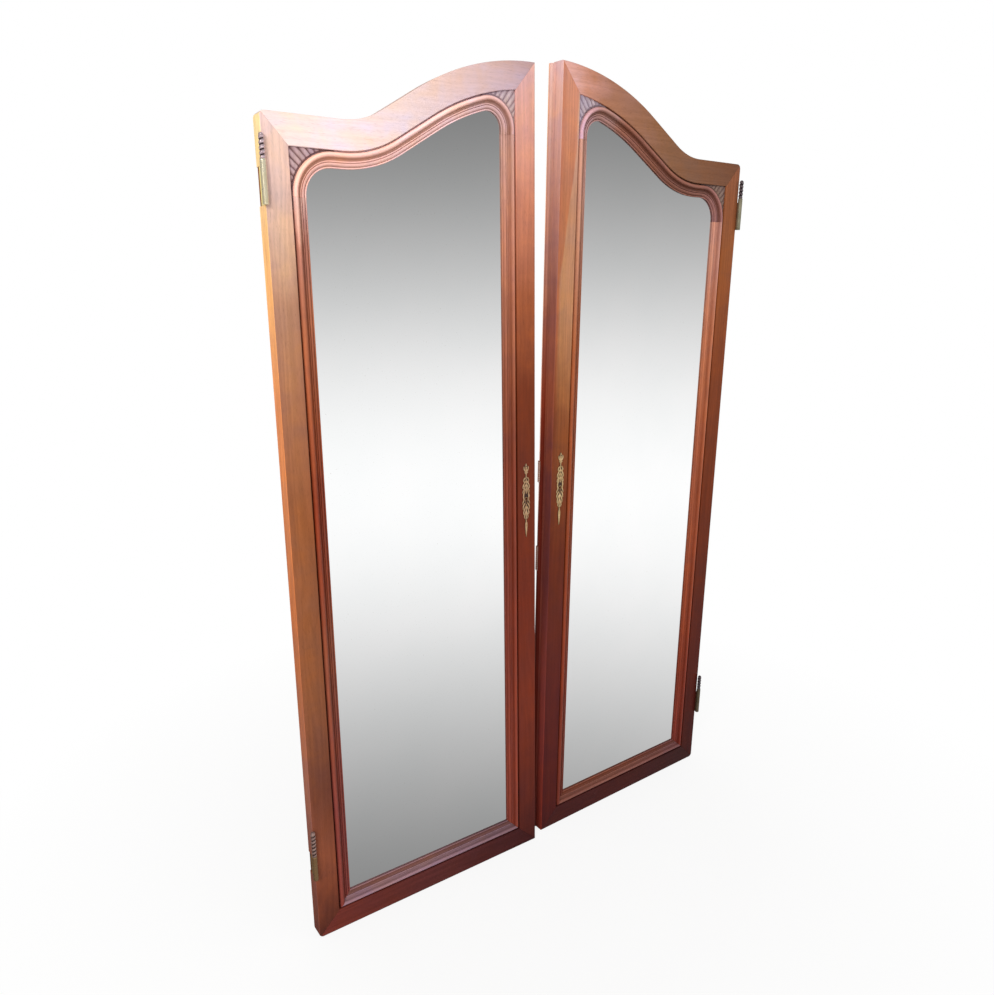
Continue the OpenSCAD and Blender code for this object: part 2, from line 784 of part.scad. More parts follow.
// Turned finial: a stack of rounded rings under a small cap
ring_out = barrel_d / 2 - 0.2;
ring_in = barrel_d / 2 - 1.8;
function ring_profile(rings) = concat(
  [[0, 0]],
  [for (i = [0:rings - 1], t = [0:5])
    [mix(ring_in, i == rings - 1 ? ring_out - 0.6 : ring_out, sin(180 * t / 6)),
     (i + t / 6) * ring_pitch]],
  [[ring_in - 1.4, rings * ring_pitch], [0, rings * ring_pitch]]);

module finial(mouth_z, rings) {
  color("dimgray") translate([hinge_u, hinge_y, mouth_z + barrel_h(rings)]) union() {
    rotate_extrude($fn = 36) polygon(ring_profile(rings));
    translate([0, 0, -spigot_len]) cylinder(h = spigot_len + 1, d = spigot_d, $fn = round_fn);
  }
}

hinge_screw_y = 9.5;
leaf_screws = 3;
module hinge_screws_at(mouth_z, rings, over) {
  for (i = [0:leaf_screws - 1]) {
    translate([0, hinge_screw_y, mouth_z + leaf_h(rings) * (i + 0.5) / leaf_screws])
      rotate([0, 0, -90]) screw(screw_len, over);
  }
}

module hinge_screw_set(lower_rings, over) {
  hinge_screws_at(upper_mouth_z, short_rings, over);
  hinge_screws_at(lower_mouth_z, lower_rings, over);
}

module hinge_screws(lower_rings) {
  color("darkgray") hinge_screw_set(lower_rings, 0);
}

// ---- Lock on the back of the left door ----
lock_bolt_h = 14;
lock_bolt_t = 6;
lock_bolt_y = door_t + 3;
lock_bolt_len = lock_case_w - 2 * lock_wall;
lock_notch_w = lock_throw - 4;             // the notch that a key's bit pushes on
lock_screw_len = lock_case_t + 12;
boss_d = 8;
key_post_d = 3;

module lock_case() {
  color("slategray") difference() {
    translate([lock_case_u, door_t, lock_case_z])
      cube([lock_case_w, lock_case_t, lock_case_h]);
    difference() {
      translate([lock_case_u + lock_wall, door_t - past, lock_case_z + lock_wall])
        cube([lock_case_w, lock_case_t - lock_wall + past, lock_case_h - 2 * lock_wall]);
      for (p = lock_screw_spots) {
        translate([p[0], door_t, p[1]]) rotate([-90, 0, 0])
          cylinder(h = lock_case_t, d = boss_d, $fn = round_fn);
      }
      translate([door_w - keyhole_in, door_t + 4, keyhole_z]) rotate([-90, 0, 0])
        cylinder(h = lock_case_t, d = key_post_d, $fn = round_fn);
    }
    back_screws(lock_screw_spots, door_t + lock_case_t, lock_screw_len, past);
  }
}

module lock_forend() {
  color("slategray") difference() {
    translate([lock_case_u + lock_case_w, door_t, lock_case_z])
      cube([forend_t, lock_case_t, lock_case_h]);
    translate([lock_case_u, lock_bolt_y - bolt_gap, lock_z - lock_bolt_h / 2 - bolt_gap])
      cube([lock_case_w + 2 * forend_t, lock_bolt_t + 2 * bolt_gap,
        lock_bolt_h + 2 * bolt_gap]);
  }
}

module lock_bolt() {
  color("silver") difference() {
    translate([lock_case_u + lock_case_w + forend_t - lock_bolt_len, lock_bolt_y,
        lock_z - lock_bolt_h / 2])
      cube([lock_bolt_len, lock_bolt_t, lock_bolt_h]);
    translate([lock_case_u + (lock_case_w - lock_notch_w) / 2, lock_bolt_y - past,
        lock_z - lock_bolt_h / 2 - past])
      cube([lock_notch_w, lock_bolt_t + 2 * past, 5 + past]);
  }
}

module lock_screws() {
  color("darkgray") back_screws(lock_screw_spots, door_t + lock_case_t, lock_screw_len, 0);
}

// ---- Fittings on the back of the right door ----
keep_bead_d = 2.8;
keep_bead_pitch = 5;
// A flat strap on the back of the lip, with a beaded front edge
module keep(z, h) {
  color("gray") difference() {
    union() {
      slab(door_t, door_t + keep_t) translate([door_w + lip_w - keep_w, z])
        square([keep_w, h]);
      slab(door_t - keep_wrap, door_t + keep_t) translate([door_w + lip_w, z])
        square([keep_t, h]);
      for (i = [0:floor(h / keep_bead_pitch) - 1]) {
        translate([door_w + lip_w + keep_t, door_t - keep_wrap, z + keep_bead_pitch * (i + 0.5)])
          rotate([-90, 0, 0]) cylinder(h = keep_wrap + keep_t, d = keep_bead_d, $fn = 24);
      }
    }
    back_screws(keep_screw_spots, door_t + keep_t, screw_len, past);
  }
}

// A base plate with two bridges that a flat bolt slides under
module bolt_guide(z) {
  color("gray") difference() {
    union() {
      translate([flush_u - guide_w / 2, door_t, z]) cube([guide_w, guide_t, guide_h]);
      for (s = [strap_in, guide_h - strap_in - strap_w]) {
        translate([flush_u - flush_w / 2 - bolt_gap - strap_t, door_t + guide_t, z + s])
          cube([flush_w + 2 * (bolt_gap + strap_t), flush_t + bolt_gap + strap_t, strap_w]);
      }
    }
    translate([flush_u - flush_w / 2 - bolt_gap, door_t + guide_t, z - past])
      cube([flush_w + 2 * bolt_gap, flush_t + bolt_gap, guide_h + 2 * past]);
    back_screws(guide_screw_spots, door_t + guide_t, screw_len, past);
  }
}

// Bolt from z to z + flush_len, with its knob at knob_z
module flat_bolt(z, knob_z) {
  color("silver") union() {
    translate([flush_u - flush_w / 2, door_t + guide_t + 0.1, z])
      cube([flush_w, flush_t, flush_len]);
    translate([flush_u, door_t + guide_t + flush_t - 1, knob_z]) rotate([-90, 0, 0])
      cylinder(h = knob_len, d = knob_d, $fn = round_fn);
  }
}

bolt_end_inset = 6;
top_bolt_z = top_z(flush_u - flush_w, 0) - bolt_end_inset - flush_len;

module top_bolt() {
  flat_bolt(top_bolt_z, guide_top_z + guide_h / 2);
}

module bottom_bolt() {
  flat_bolt(bolt_end_inset, guide_bottom_z + guide_h / 2);
}

module fitting_screw_set(over) {
  back_screws(guide_screw_spots, door_t + guide_t, screw_len, over);
  back_screws(keep_screw_spots, door_t + keep_t, screw_len, over);
}

module fitting_screws() {
  color("darkgray") fitting_screw_set(0);
}

// ---- Standing: the origin is the mouth of the left door's lower hinge bore ----
foot_z = -(door_t - hinge_y) * sin(lean) - lower_mouth_z * cos(lean);

module left_door() {
  rotate([-lean, 0, 0]) translate([-hinge_u, -hinge_y, -lower_mouth_z]) children();
}

pair_x = door_w - hinge_u + pair_gap;
pair_y = -hinge_y * cos(lean) - lower_mouth_z * sin(lean) + set_back;

module right_door() {
  translate([pair_x, pair_y, foot_z]) rotate([0, 0, turn])
    translate([door_w, 0, 0]) mirror([1, 0, 0]) children();
}

left_door() hanging_stile(long_rings);  // left_hanging_stile
left_door() left_meeting();  // left_meeting_stile
left_door() top_rail(true);  // left_top_rail
left_door() bottom_rail(true);  // left_bottom_rail
left_door() top_moulding();  // left_top_moulding
left_door() hanging_moulding();  // left_hanging_moulding
left_door() meeting_moulding();  // left_meeting_moulding
left_door() bottom_moulding();  // left_bottom_moulding
left_door() hanging_spandrel();  // left_hanging_spandrel
left_door() meeting_spandrel();  // left_meeting_spandrel
left_door() mirror_glass();  // left_mirror_glass
left_door() back_board();  // left_back_board
left_door() batten("top");  // left_top_batten
left_door() batten("bottom");  // left_bottom_batten
left_door() batten("hanging");  // left_hanging_batten
left_door() batten("meeting");  // left_meeting_batten
left_door() batten_pins();  // left_batten_pins
left_door() keyhole_plate(0);  // left_keyhole_plate
left_door() keyhole_plate_pins(0);  // left_keyhole_plate_pins
left_door() hinge(upper_mouth_z, short_rings);  // left_upper_hinge
left_door() hinge(lower_mouth_z, long_rings);  // left_lower_hinge
left_door() finial(upper_mouth_z, short_rings);  // left_upper_finial
left_door() finial(lower_mouth_z, long_rings);  // left_lower_finial
left_door() hinge_screws(long_rings);  // left_hinge_screws
left_door() lock_case();
left_door() lock_forend();
left_door() lock_bolt();
left_door() lock_screws();
right_door() hanging_stile(short_rings);  // right_hanging_stile
right_door() right_meeting();  // right_meeting_stile
right_door() top_rail(false);  // right_top_rail
right_door() bottom_rail(false);  // right_bottom_rail
right_door() top_moulding();  // right_top_moulding
right_door() hanging_moulding();  // right_hanging_moulding
right_door() meeting_moulding();  // right_meeting_moulding
right_door() bottom_moulding();  // right_bottom_moulding
right_door() hanging_spandrel();  // right_hanging_spandrel
right_door() meeting_spandrel();  // right_meeting_spandrel
right_door() mirror_glass();  // right_mirror_glass
right_door() back_board();  // right_back_board
right_door() batten("top");  // right_top_batten
right_door() batten("bottom");  // right_bottom_batten
right_door() batten("hanging");  // right_hanging_batten
right_door() batten("meeting");  // right_meeting_batten
right_door() batten_pins();  // right_batten_pins
right_door() keyhole_plate(right_plate_rise);  // right_keyhole_plate
right_door() keyhole_plate_pins(right_plate_rise);  // right_keyhole_plate_pins
right_door() hinge(upper_mouth_z, short_rings);  // right_upper_hinge
right_door() hinge(lower_mouth_z, short_rings);  // right_lower_hinge
right_door() finial(upper_mouth_z, short_rings);  // right_upper_finial
right_door() finial(lower_mouth_z, short_rings);  // right_lower_finial
right_door() hinge_screws(short_rings);  // right_hinge_screws
right_door() keep(upper_keep_z, upper_keep_h);  // upper_keep
right_door() keep(lower_keep_z, lower_keep_h);  // lower_keep
right_door() top_bolt();
right_door() bottom_bolt();
right_door() bolt_guide(guide_top_z);  // top_bolt_guide
right_door() bolt_guide(guide_bottom_z);  // bottom_bolt_guide
right_door() fitting_screws();
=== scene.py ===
# %% [markdown]
# # A pair of mirrored wardrobe doors
# The real object is two walnut doors with full-length mirrors, taken off an old French
# wardrobe. They stand side by side: the left one leans back a little, the right one is
# turned a little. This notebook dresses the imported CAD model. Every dimension here is
# the CAD model's own, and every piece goes where its CAD node is.

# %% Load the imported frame
import json
import math

import bmesh
import bpy
import numpy as np
from mathutils import Matrix, Vector


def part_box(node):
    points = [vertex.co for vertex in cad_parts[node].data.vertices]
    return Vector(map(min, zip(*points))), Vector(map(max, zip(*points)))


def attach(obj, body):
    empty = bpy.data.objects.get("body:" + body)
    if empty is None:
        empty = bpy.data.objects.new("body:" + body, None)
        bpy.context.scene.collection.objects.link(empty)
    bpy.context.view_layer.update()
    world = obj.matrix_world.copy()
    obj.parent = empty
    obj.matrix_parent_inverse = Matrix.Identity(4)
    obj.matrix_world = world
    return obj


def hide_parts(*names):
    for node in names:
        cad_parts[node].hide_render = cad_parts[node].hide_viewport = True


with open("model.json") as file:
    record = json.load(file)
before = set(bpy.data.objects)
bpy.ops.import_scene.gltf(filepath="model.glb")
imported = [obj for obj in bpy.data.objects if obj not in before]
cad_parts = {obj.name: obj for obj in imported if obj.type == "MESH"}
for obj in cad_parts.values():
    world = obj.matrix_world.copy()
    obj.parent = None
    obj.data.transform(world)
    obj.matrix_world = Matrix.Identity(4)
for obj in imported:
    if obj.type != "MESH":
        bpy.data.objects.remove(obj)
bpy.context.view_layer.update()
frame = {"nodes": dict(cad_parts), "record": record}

# %% [markdown]
# ## Door coordinates
# A door is easiest to draw upright and alone: u runs from the hanging edge to the
# meeting edge, y from the front face to the back and z upwards, all in millimetres.
# One matrix for each door then carries a finished shape into the frame, so that both
# doors come from the same code and the right one is simply its mirror image.

# %% Sizes of one door, in millimetres
DOOR_W, DOOR_T, SHOULDER_H, CROWN_RISE = 600.0, 32.0, 1705.0, 155.0
CROWN_H = SHOULDER_H + CROWN_RISE
SHOULDER_FLAT, COVE_R, SLOPE_LEN, SUMMIT_OUT = 155.0, 160.0, 99.0, 10.0
FACE_SIDE, FACE_BASE, FACE_CROWN = 50.0, 50.0, 55.0
STEP_W, STEP_Y = 12.0, 10.0
HAIR = 0.02  # left between pieces that lie on each other
FOOT_R, SHOULDER_R = 10.0, 11.0
FRAME_W = FACE_SIDE + STEP_W
GLASS_Y = STEP_Y + 3.0
GLASS_T, BOARD_T = 4.0, 5.0
BATTEN_Y = GLASS_Y + GLASS_T + BOARD_T
MOULD_SIDE, MOULD_BASE, MOULD_CROWN = 54.0, 54.0, 58.0
MOULD_W, SHOULDER_TURN_R, CROWN_TURN_R = 28.0, 80.0, 60.0
LIP_W, LIP_T, LIP_DROP, LIP_GAP = 13.0, 10.0, 4.0, 1.0
HINGE_U, HINGE_Y = -1.0, -6.35
BARREL_R, BORE_R, HINGE_H, RING_PITCH = 5.495, 4.0, 120.0, 8.7
LEAF_Y, LEAF_DROP = 20.0, 10.0
LOWER_MOUTH, UPPER_MOUTH = 156.0, SHOULDER_H - 158.0
KEYHOLE_U, KEYHOLE_Z = DOOR_W - 27.0, 924.0
PLATE_RISE = {"left": 0.0, "right": 20.0}
print("Doors are", DOOR_W, "by", CROWN_H, "mm")

# %% Where each door stands
LEAN, TURN = math.radians(2.2), math.radians(2.0)
PAIR_GAP, SET_BACK = 33.0, 18.0

left_stance = Matrix.Rotation(-LEAN, 4, "X") @ Matrix.Translation(
    (-HINGE_U, -HINGE_Y, -LOWER_MOUTH))
foot_z = -(DOOR_T - HINGE_Y) * math.sin(LEAN) - LOWER_MOUTH * math.cos(LEAN)
right_stance = (
    Matrix.Translation((
        DOOR_W - HINGE_U + PAIR_GAP,
        -HINGE_Y * math.cos(LEAN) - LOWER_MOUTH * math.sin(LEAN) + SET_BACK,
        foot_z))
    @ Matrix.Rotation(TURN, 4, "Z")
    @ Matrix.Translation((DOOR_W, 0, 0))
    @ Matrix.Diagonal((-1, 1, 1, 1)))
STANCE = {"left": left_stance, "right": right_stance}
FLOOR = foot_z / 1000
print("Floor at z =", round(FLOOR, 4), "m")


# %% [markdown]
# ## The top edge
# The S-curve is a hollow arc, a straight slope and a rounded arc, each tangent to the
# next. Every line that runs parallel to it, such as the moulding, comes from the same
# two centres with other radii.

# %% The curve of the top edge
run = DOOR_W + SUMMIT_OUT - SHOULDER_FLAT
CREST_R = (run ** 2 + CROWN_RISE ** 2 - SLOPE_LEN ** 2) / (2 * CROWN_RISE) - COVE_R
cove_c = np.array([SHOULDER_FLAT, SHOULDER_H + COVE_R])
crest_c = np.array([DOOR_W + SUMMIT_OUT, CROWN_H - CREST_R])
between = crest_c - cove_c
SLOPE = math.atan2(between[1], between[0]) + math.asin(
    (COVE_R + CREST_R) / float(np.hypot(*between)))


def cove_point(a, d):
    return cove_c + (COVE_R + d) * np.array([math.sin(a), -math.cos(a)])


def crest_point(a, d):
    return crest_c + (CREST_R - d) * np.array([-math.sin(a), math.cos(a)])


def crest_angle(u, d):
    return math.asin((crest_c[0] - u) / (CREST_R - d))


def top_curve(d, end_u, cove_steps=20, crest_steps=34):
    """Points of the line d inside the top edge, from the shoulder up to end_u."""
    hollow_shade = [cove_point(SLOPE * i / cove_steps, d) for i in range(cove_steps + 1)]
    stop = crest_angle(end_u, d)
    round_part = [crest_point(SLOPE + (stop - SLOPE) * i / crest_steps, d)
                  for i in range(crest_steps + 1)]
    return hollow_shade + round_part


def top_z(u, d):
    """Height of the line d inside the top edge, at u."""
    line = np.array([[0, SHOULDER_H - d]] + top_curve(d, DOOR_W, 60, 90))
    return float(np.interp(u, line[:, 0], line[:, 1]))


print("Crest radius", round(CREST_R, 1), "mm, slope", round(math.degrees(SLOPE), 1))

# %% [markdown]
# ## Small tools
# A shape is a bmesh in door coordinates. `stack` makes a board from its outline: it
# lays the outline down at several depths, drawn in by a little more near the faces, so
# each arris is rounded and each joint keeps its fine line. `piece` carries a finished
# shape into the frame, gives it its finish and says what it rides on and stands for.


# %% Outlines and boards
def inset(outline, draw_in):
    """Moves each edge of a counter-clockwise outline inwards by its tag's distance."""
    p = np.array([[u, z] for u, z, _ in outline], float)
    d = np.array([draw_in.get(tag, 0.0) for _, _, tag in outline])
    t = np.roll(p, -1, 0) - p
    t /= np.linalg.norm(t, axis=1)[:, None]
    n = np.stack([-t[:, 1], t[:, 0]], 1)
    c = (p * n).sum(1) + d
    n0, c0 = np.roll(n, 1, 0), np.roll(c, 1)
    det = n0[:, 0] * n[:, 1] - n0[:, 1] * n[:, 0]
    flat = np.abs(det) < 1e-3
    det[flat] = 1
    q = np.stack([c0 * n[:, 1] - c * n0[:, 1], c * n0[:, 0] - c0 * n[:, 0]], 1)
    q /= det[:, None]
    q[flat] = (p + n * d[:, None])[flat]
    return q


def ease(depth, radius):
    """How far a rounded arris is drawn in at a depth below the surface."""
    if depth >= radius:
        return 0.0
    return radius - math.sqrt(max(0.0, radius ** 2 - (radius - depth) ** 2))


def grid_faces(shape, rings, closed=True):
    """Quads between rings of vertices."""
    n = len(rings[0])
    for a, b in zip(rings, rings[1:]):
        for i in range(n if closed else n - 1):
            j = (i + 1) % n
            shape.faces.new((a[i], a[j], b[j], b[i]))


def tube(shape, rings):
    """Walls between rings of vertices, and a face over each end."""
    grid_faces(shape, rings)
    shape.faces.new(rings[0])
    shape.faces.new(rings[-1][::-1])


def outward(shape):
    bmesh.ops.recalc_face_normals(shape, faces=shape.faces[:])
    return shape


def stack(outline, levels):
    """A board from an outline; levels are (depth, draw_in) from front to back."""
    shape = bmesh.new()
    tube(shape, [[shape.verts.new((u, y, z)) for u, z in inset(outline, draw_in)]
                 for y, draw_in in levels])
    return outward(shape)


# %% Turned parts and blocks
def shifted(shape, by, verts=None):
    bmesh.ops.translate(shape, vec=by, verts=verts or shape.verts[:])
    return shape


def lathe(profile, centre=(0, 0, 0), steps=40):
    """Turns (radius, height) points round the z axis; the ends lie on the axis."""
    shape = bmesh.new()
    foot = shape.verts.new((0, 0, profile[0][1]))
    tip = shape.verts.new((0, 0, profile[-1][1]))
    turns = [2 * math.pi * i / steps for i in range(steps)]
    rings = [[shape.verts.new((r * math.cos(a), r * math.sin(a), z)) for a in turns]
             for r, z in profile[1:-1]]
    grid_faces(shape, rings)
    for i in range(steps):
        j = (i + 1) % steps
        shape.faces.new((foot, rings[0][j], rings[0][i]))
        shape.faces.new((tip, rings[-1][i], rings[-1][j]))
    return outward(shifted(shape, centre))


def block(low, high, radius=0.5, steps=2):
    """A block between two corners, with rounded edges."""
    shape = bmesh.new()
    bmesh.ops.create_cube(shape, size=1)
    for v in shape.verts:
        v.co = Vector([lo + (c + 0.5) * (hi - lo) for c, lo, hi in zip(v.co, low, high)])
    bmesh.ops.bevel(shape, geom=shape.edges[:], offset=radius, segments=steps,
                    profile=0.5, affect="EDGES")
    return outward(shape)


def joined(*shapes):
    """Several shapes as one."""
    whole = bmesh.new()
    for shape in shapes:
        mesh = bpy.data.meshes.new("part")
        shape.to_mesh(mesh)
        whole.from_mesh(mesh)
        bpy.data.meshes.remove(mesh)
        shape.free()
    return whole


# %% Meshes that modifiers change
scene = bpy.context.scene


def placed(name, data):
    """A new object in the scene."""
    made = bpy.data.objects.new(name, data)
    scene.collection.objects.link(made)
    return made


def evaluated(mesh, *modifiers):
    """The mesh that modifiers make of a mesh: each is (type, settings)."""
    holder = placed("holder", mesh)
    for kind, settings in modifiers:
        modifier = holder.modifiers.new(kind.lower(), kind)
        for key, value in settings.items():
            setattr(modifier, key, value)
    graph = bpy.context.evaluated_depsgraph_get()
    made = bpy.data.meshes.new_from_object(holder.evaluated_get(graph))
    bpy.data.objects.remove(holder)
    return made


def as_mesh(shape, name="shape"):
    mesh = bpy.data.meshes.new(name)
    shape.to_mesh(mesh)
    shape.free()
    return mesh


def as_shape(mesh):
    shape = bmesh.new()
    shape.from_mesh(mesh)
    bpy.data.meshes.remove(mesh)
    return shape


def cut(shape, *cutters):
    """Takes the cutters out of a shape."""
    mesh = as_mesh(shape)
    for cutter in cutters:
        tool = placed("cutter", as_mesh(cutter))
        mesh = evaluated(mesh, ("BOOLEAN", dict(operation="DIFFERENCE", solver="EXACT",
                                                object=tool)))
        bpy.data.objects.remove(tool)
    return as_shape(mesh)


# %% Finishing a piece
BODY_OF = {node: body for body, members in frame["record"]["behaviour"]["bodies"].items()
           for node in members}
SMOOTH_BELOW = math.radians(38)
made_pieces = []


def piece(name, shape, side, finishes):
    """Carries a shape into the frame as the finished piece that stands for a CAD node."""
    bmesh.ops.transform(shape, matrix=STANCE[side], verts=shape.verts[:])
    bmesh.ops.scale(shape, vec=(0.001,) * 3, verts=shape.verts[:])
    if side == "right":
        bmesh.ops.reverse_faces(shape, faces=shape.faces[:])
    for face in shape.faces:
        face.smooth = True
    mesh = as_mesh(shape, name + "_mesh")
    for finish in finishes:
        mesh.materials.append(finish)
    mesh.set_sharp_from_angle(angle=SMOOTH_BELOW)
    mesh = evaluated(mesh, ("WEIGHTED_NORMAL", dict(keep_sharp=True, weight=60)))
    dressed = placed(name + "_dressed", mesh)
    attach(dressed, BODY_OF[name])
    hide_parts(name)
    made_pieces.append((dressed.name, len(mesh.polygons)))


# %% [markdown]
# ## Node trees
# Materials and Geometry Nodes are both trees. `add` makes a node, sets it up and links
# it. `wire` does the same and returns what comes out of it: a `Wire` can be added and
# multiplied like a number, and its [0], [1] and [2] are its x, y and z.


# %% Helpers for node trees
class Wire:
    """What comes out of a node; every sign used on it makes one more math node."""

    def __init__(self, tree, socket):
        self.tree, self.socket = tree, socket

    def __add__(self, other):
        return calc("ADD", self, other)

    def __sub__(self, other):
        return calc("SUBTRACT", self, other)

    def __rsub__(self, other):
        return calc("SUBTRACT", other, self)

    def __mul__(self, other):
        return calc("MULTIPLY", self, other)

    def __getitem__(self, axis):
        return wire(self.tree, "ShaderNodeSeparateXYZ", {0: self}, axis)


def feed(tree, socket, value):
    """Links a socket to a Wire or another socket, or gives it a plain value."""
    value = value.socket if isinstance(value, Wire) else value
    if isinstance(value, bpy.types.NodeSocket):
        tree.links.new(value, socket)
    else:
        socket.default_value = value


def add(tree, kind, inputs=None, **settings):
    node = tree.nodes.new(kind)
    for key, value in settings.items():
        setattr(node, key, value)
    for key, value in (inputs or {}).items():
        feed(tree, node.inputs[key], value)
    return node


def wire(tree, kind, inputs=None, out=0, **settings):
    return Wire(tree, add(tree, kind, inputs, **settings).outputs[out])


def tree_of(*values):
    return next(v.tree for v in values if isinstance(v, Wire))


def calc(operation, *values):
    return wire(tree_of(*values), "ShaderNodeMath", dict(enumerate(values)),
                operation=operation)


def vector(operation, *values, out=0):
    return wire(tree_of(*values), "ShaderNodeVectorMath", dict(enumerate(values)), out,
                operation=operation)


def scaled(value, by):
    return wire(value.tree, "ShaderNodeVectorMath", {0: value, "Scale": by},
                operation="SCALE")


def noise(at, scale, detail=2.0, roughness=0.5, distortion=0.0):
    return wire(at.tree, "ShaderNodeTexNoise", {
        "Vector": at, "Scale": scale, "Detail": detail, "Roughness": roughness,
        "Distortion": distortion}, "Fac")


def remap(value, from_low, from_high, to_low=0.0, to_high=1.0):
    return wire(value.tree, "ShaderNodeMapRange", {
        "Value": value, "From Min": from_low, "From Max": from_high,
        "To Min": to_low, "To Max": to_high}, "Result")


# %% Helpers for colour and for whole finishes
def tint_of(r, g, b):
    """An sRGB colour, 0 to 255, as the linear values that Blender works in."""
    def linear(v):
        v /= 255
        return v / 12.92 if v <= 0.04045 else ((v + 0.055) / 1.055) ** 2.4
    return (linear(r), linear(g), linear(b), 1)


def ramp(factor, stops):
    """A colour ramp; stops are (position, colour), with or without an alpha."""
    node = add(factor.tree, "ShaderNodeValToRGB", {"Fac": factor})
    points = node.color_ramp.elements
    while len(points) > 1:
        points.remove(points[0])
    for i, (position, colour) in enumerate(stops):
        point = points[0] if i == 0 else points.new(position)
        point.position, point.color = position, (*colour, 1)[:4]
    return Wire(factor.tree, node.outputs["Color"])


def mixed(factor, a, b, mode="MIX"):
    tree = tree_of(factor, a, b)
    node = add(tree, "ShaderNodeMix", data_type="RGBA", blend_type=mode)
    sockets = {s.identifier: s for s in (*node.inputs, *node.outputs)}
    for key, value in (("Factor_Float", factor), ("A_Color", a), ("B_Color", b)):
        feed(tree, sockets[key], value)
    return Wire(tree, sockets["Result_Color"])


def dyed(colour, dye):
    return mixed(1.0, colour, dye, "MULTIPLY")


def cleared(owner):
    """The node tree of a material or a world, emptied."""
    owner.use_nodes = True
    owner.node_tree.nodes.clear()
    return owner.node_tree


def finish_of(name, gloss):
    """A new material, the place of a point on the piece, and the shader, set by gloss."""
    material = bpy.data.materials.new(name)
    tree = cleared(material)
    shader = add(tree, "ShaderNodeBsdfPrincipled", gloss)
    add(tree, "ShaderNodeOutputMaterial", {"Surface": shader.outputs["BSDF"]})
    return material, wire(tree, "ShaderNodeTexCoord", out="Object"), shader


def coated(shader, colour, roughness, height=None, strength=0.0, depth=0.0):
    """Links a colour and a roughness to the shader, and bumps where there are any."""
    feed(colour.tree, shader.inputs["Base Color"], colour)
    feed(colour.tree, shader.inputs["Roughness"], roughness)
    if height:
        bump = wire(colour.tree, "ShaderNodeBump", {
            "Height": height, "Strength": strength, "Distance": depth}, "Normal")
        feed(colour.tree, shader.inputs["Normal"], bump)


def relief_of(tree):
    """The height that a carved or cast piece keeps on its mesh."""
    return wire(tree, "ShaderNodeAttribute", None, "Fac", attribute_name="relief")


# %% [markdown]
# ## Varnished walnut
# Walnut shows four things at once: broad bands of colour, the lines of the year rings,
# fine fibres, and short dark pores. Each board also carries a slow change of tone along
# its length, and that change is painted light: the pale pinkish tan high up stands for
# sheen on the varnish, and the deep red brown at the foot is painted shade. The varnish
# is a thin coat.


# %% The walnut finish
GRAIN_STRETCH = 0.055
RING_PACE, RING_SWAY = 520.0, 44.0
VARNISH = {"Coat Roughness": 0.2, "IOR": 1.45, "Specular IOR Level": 0.06}


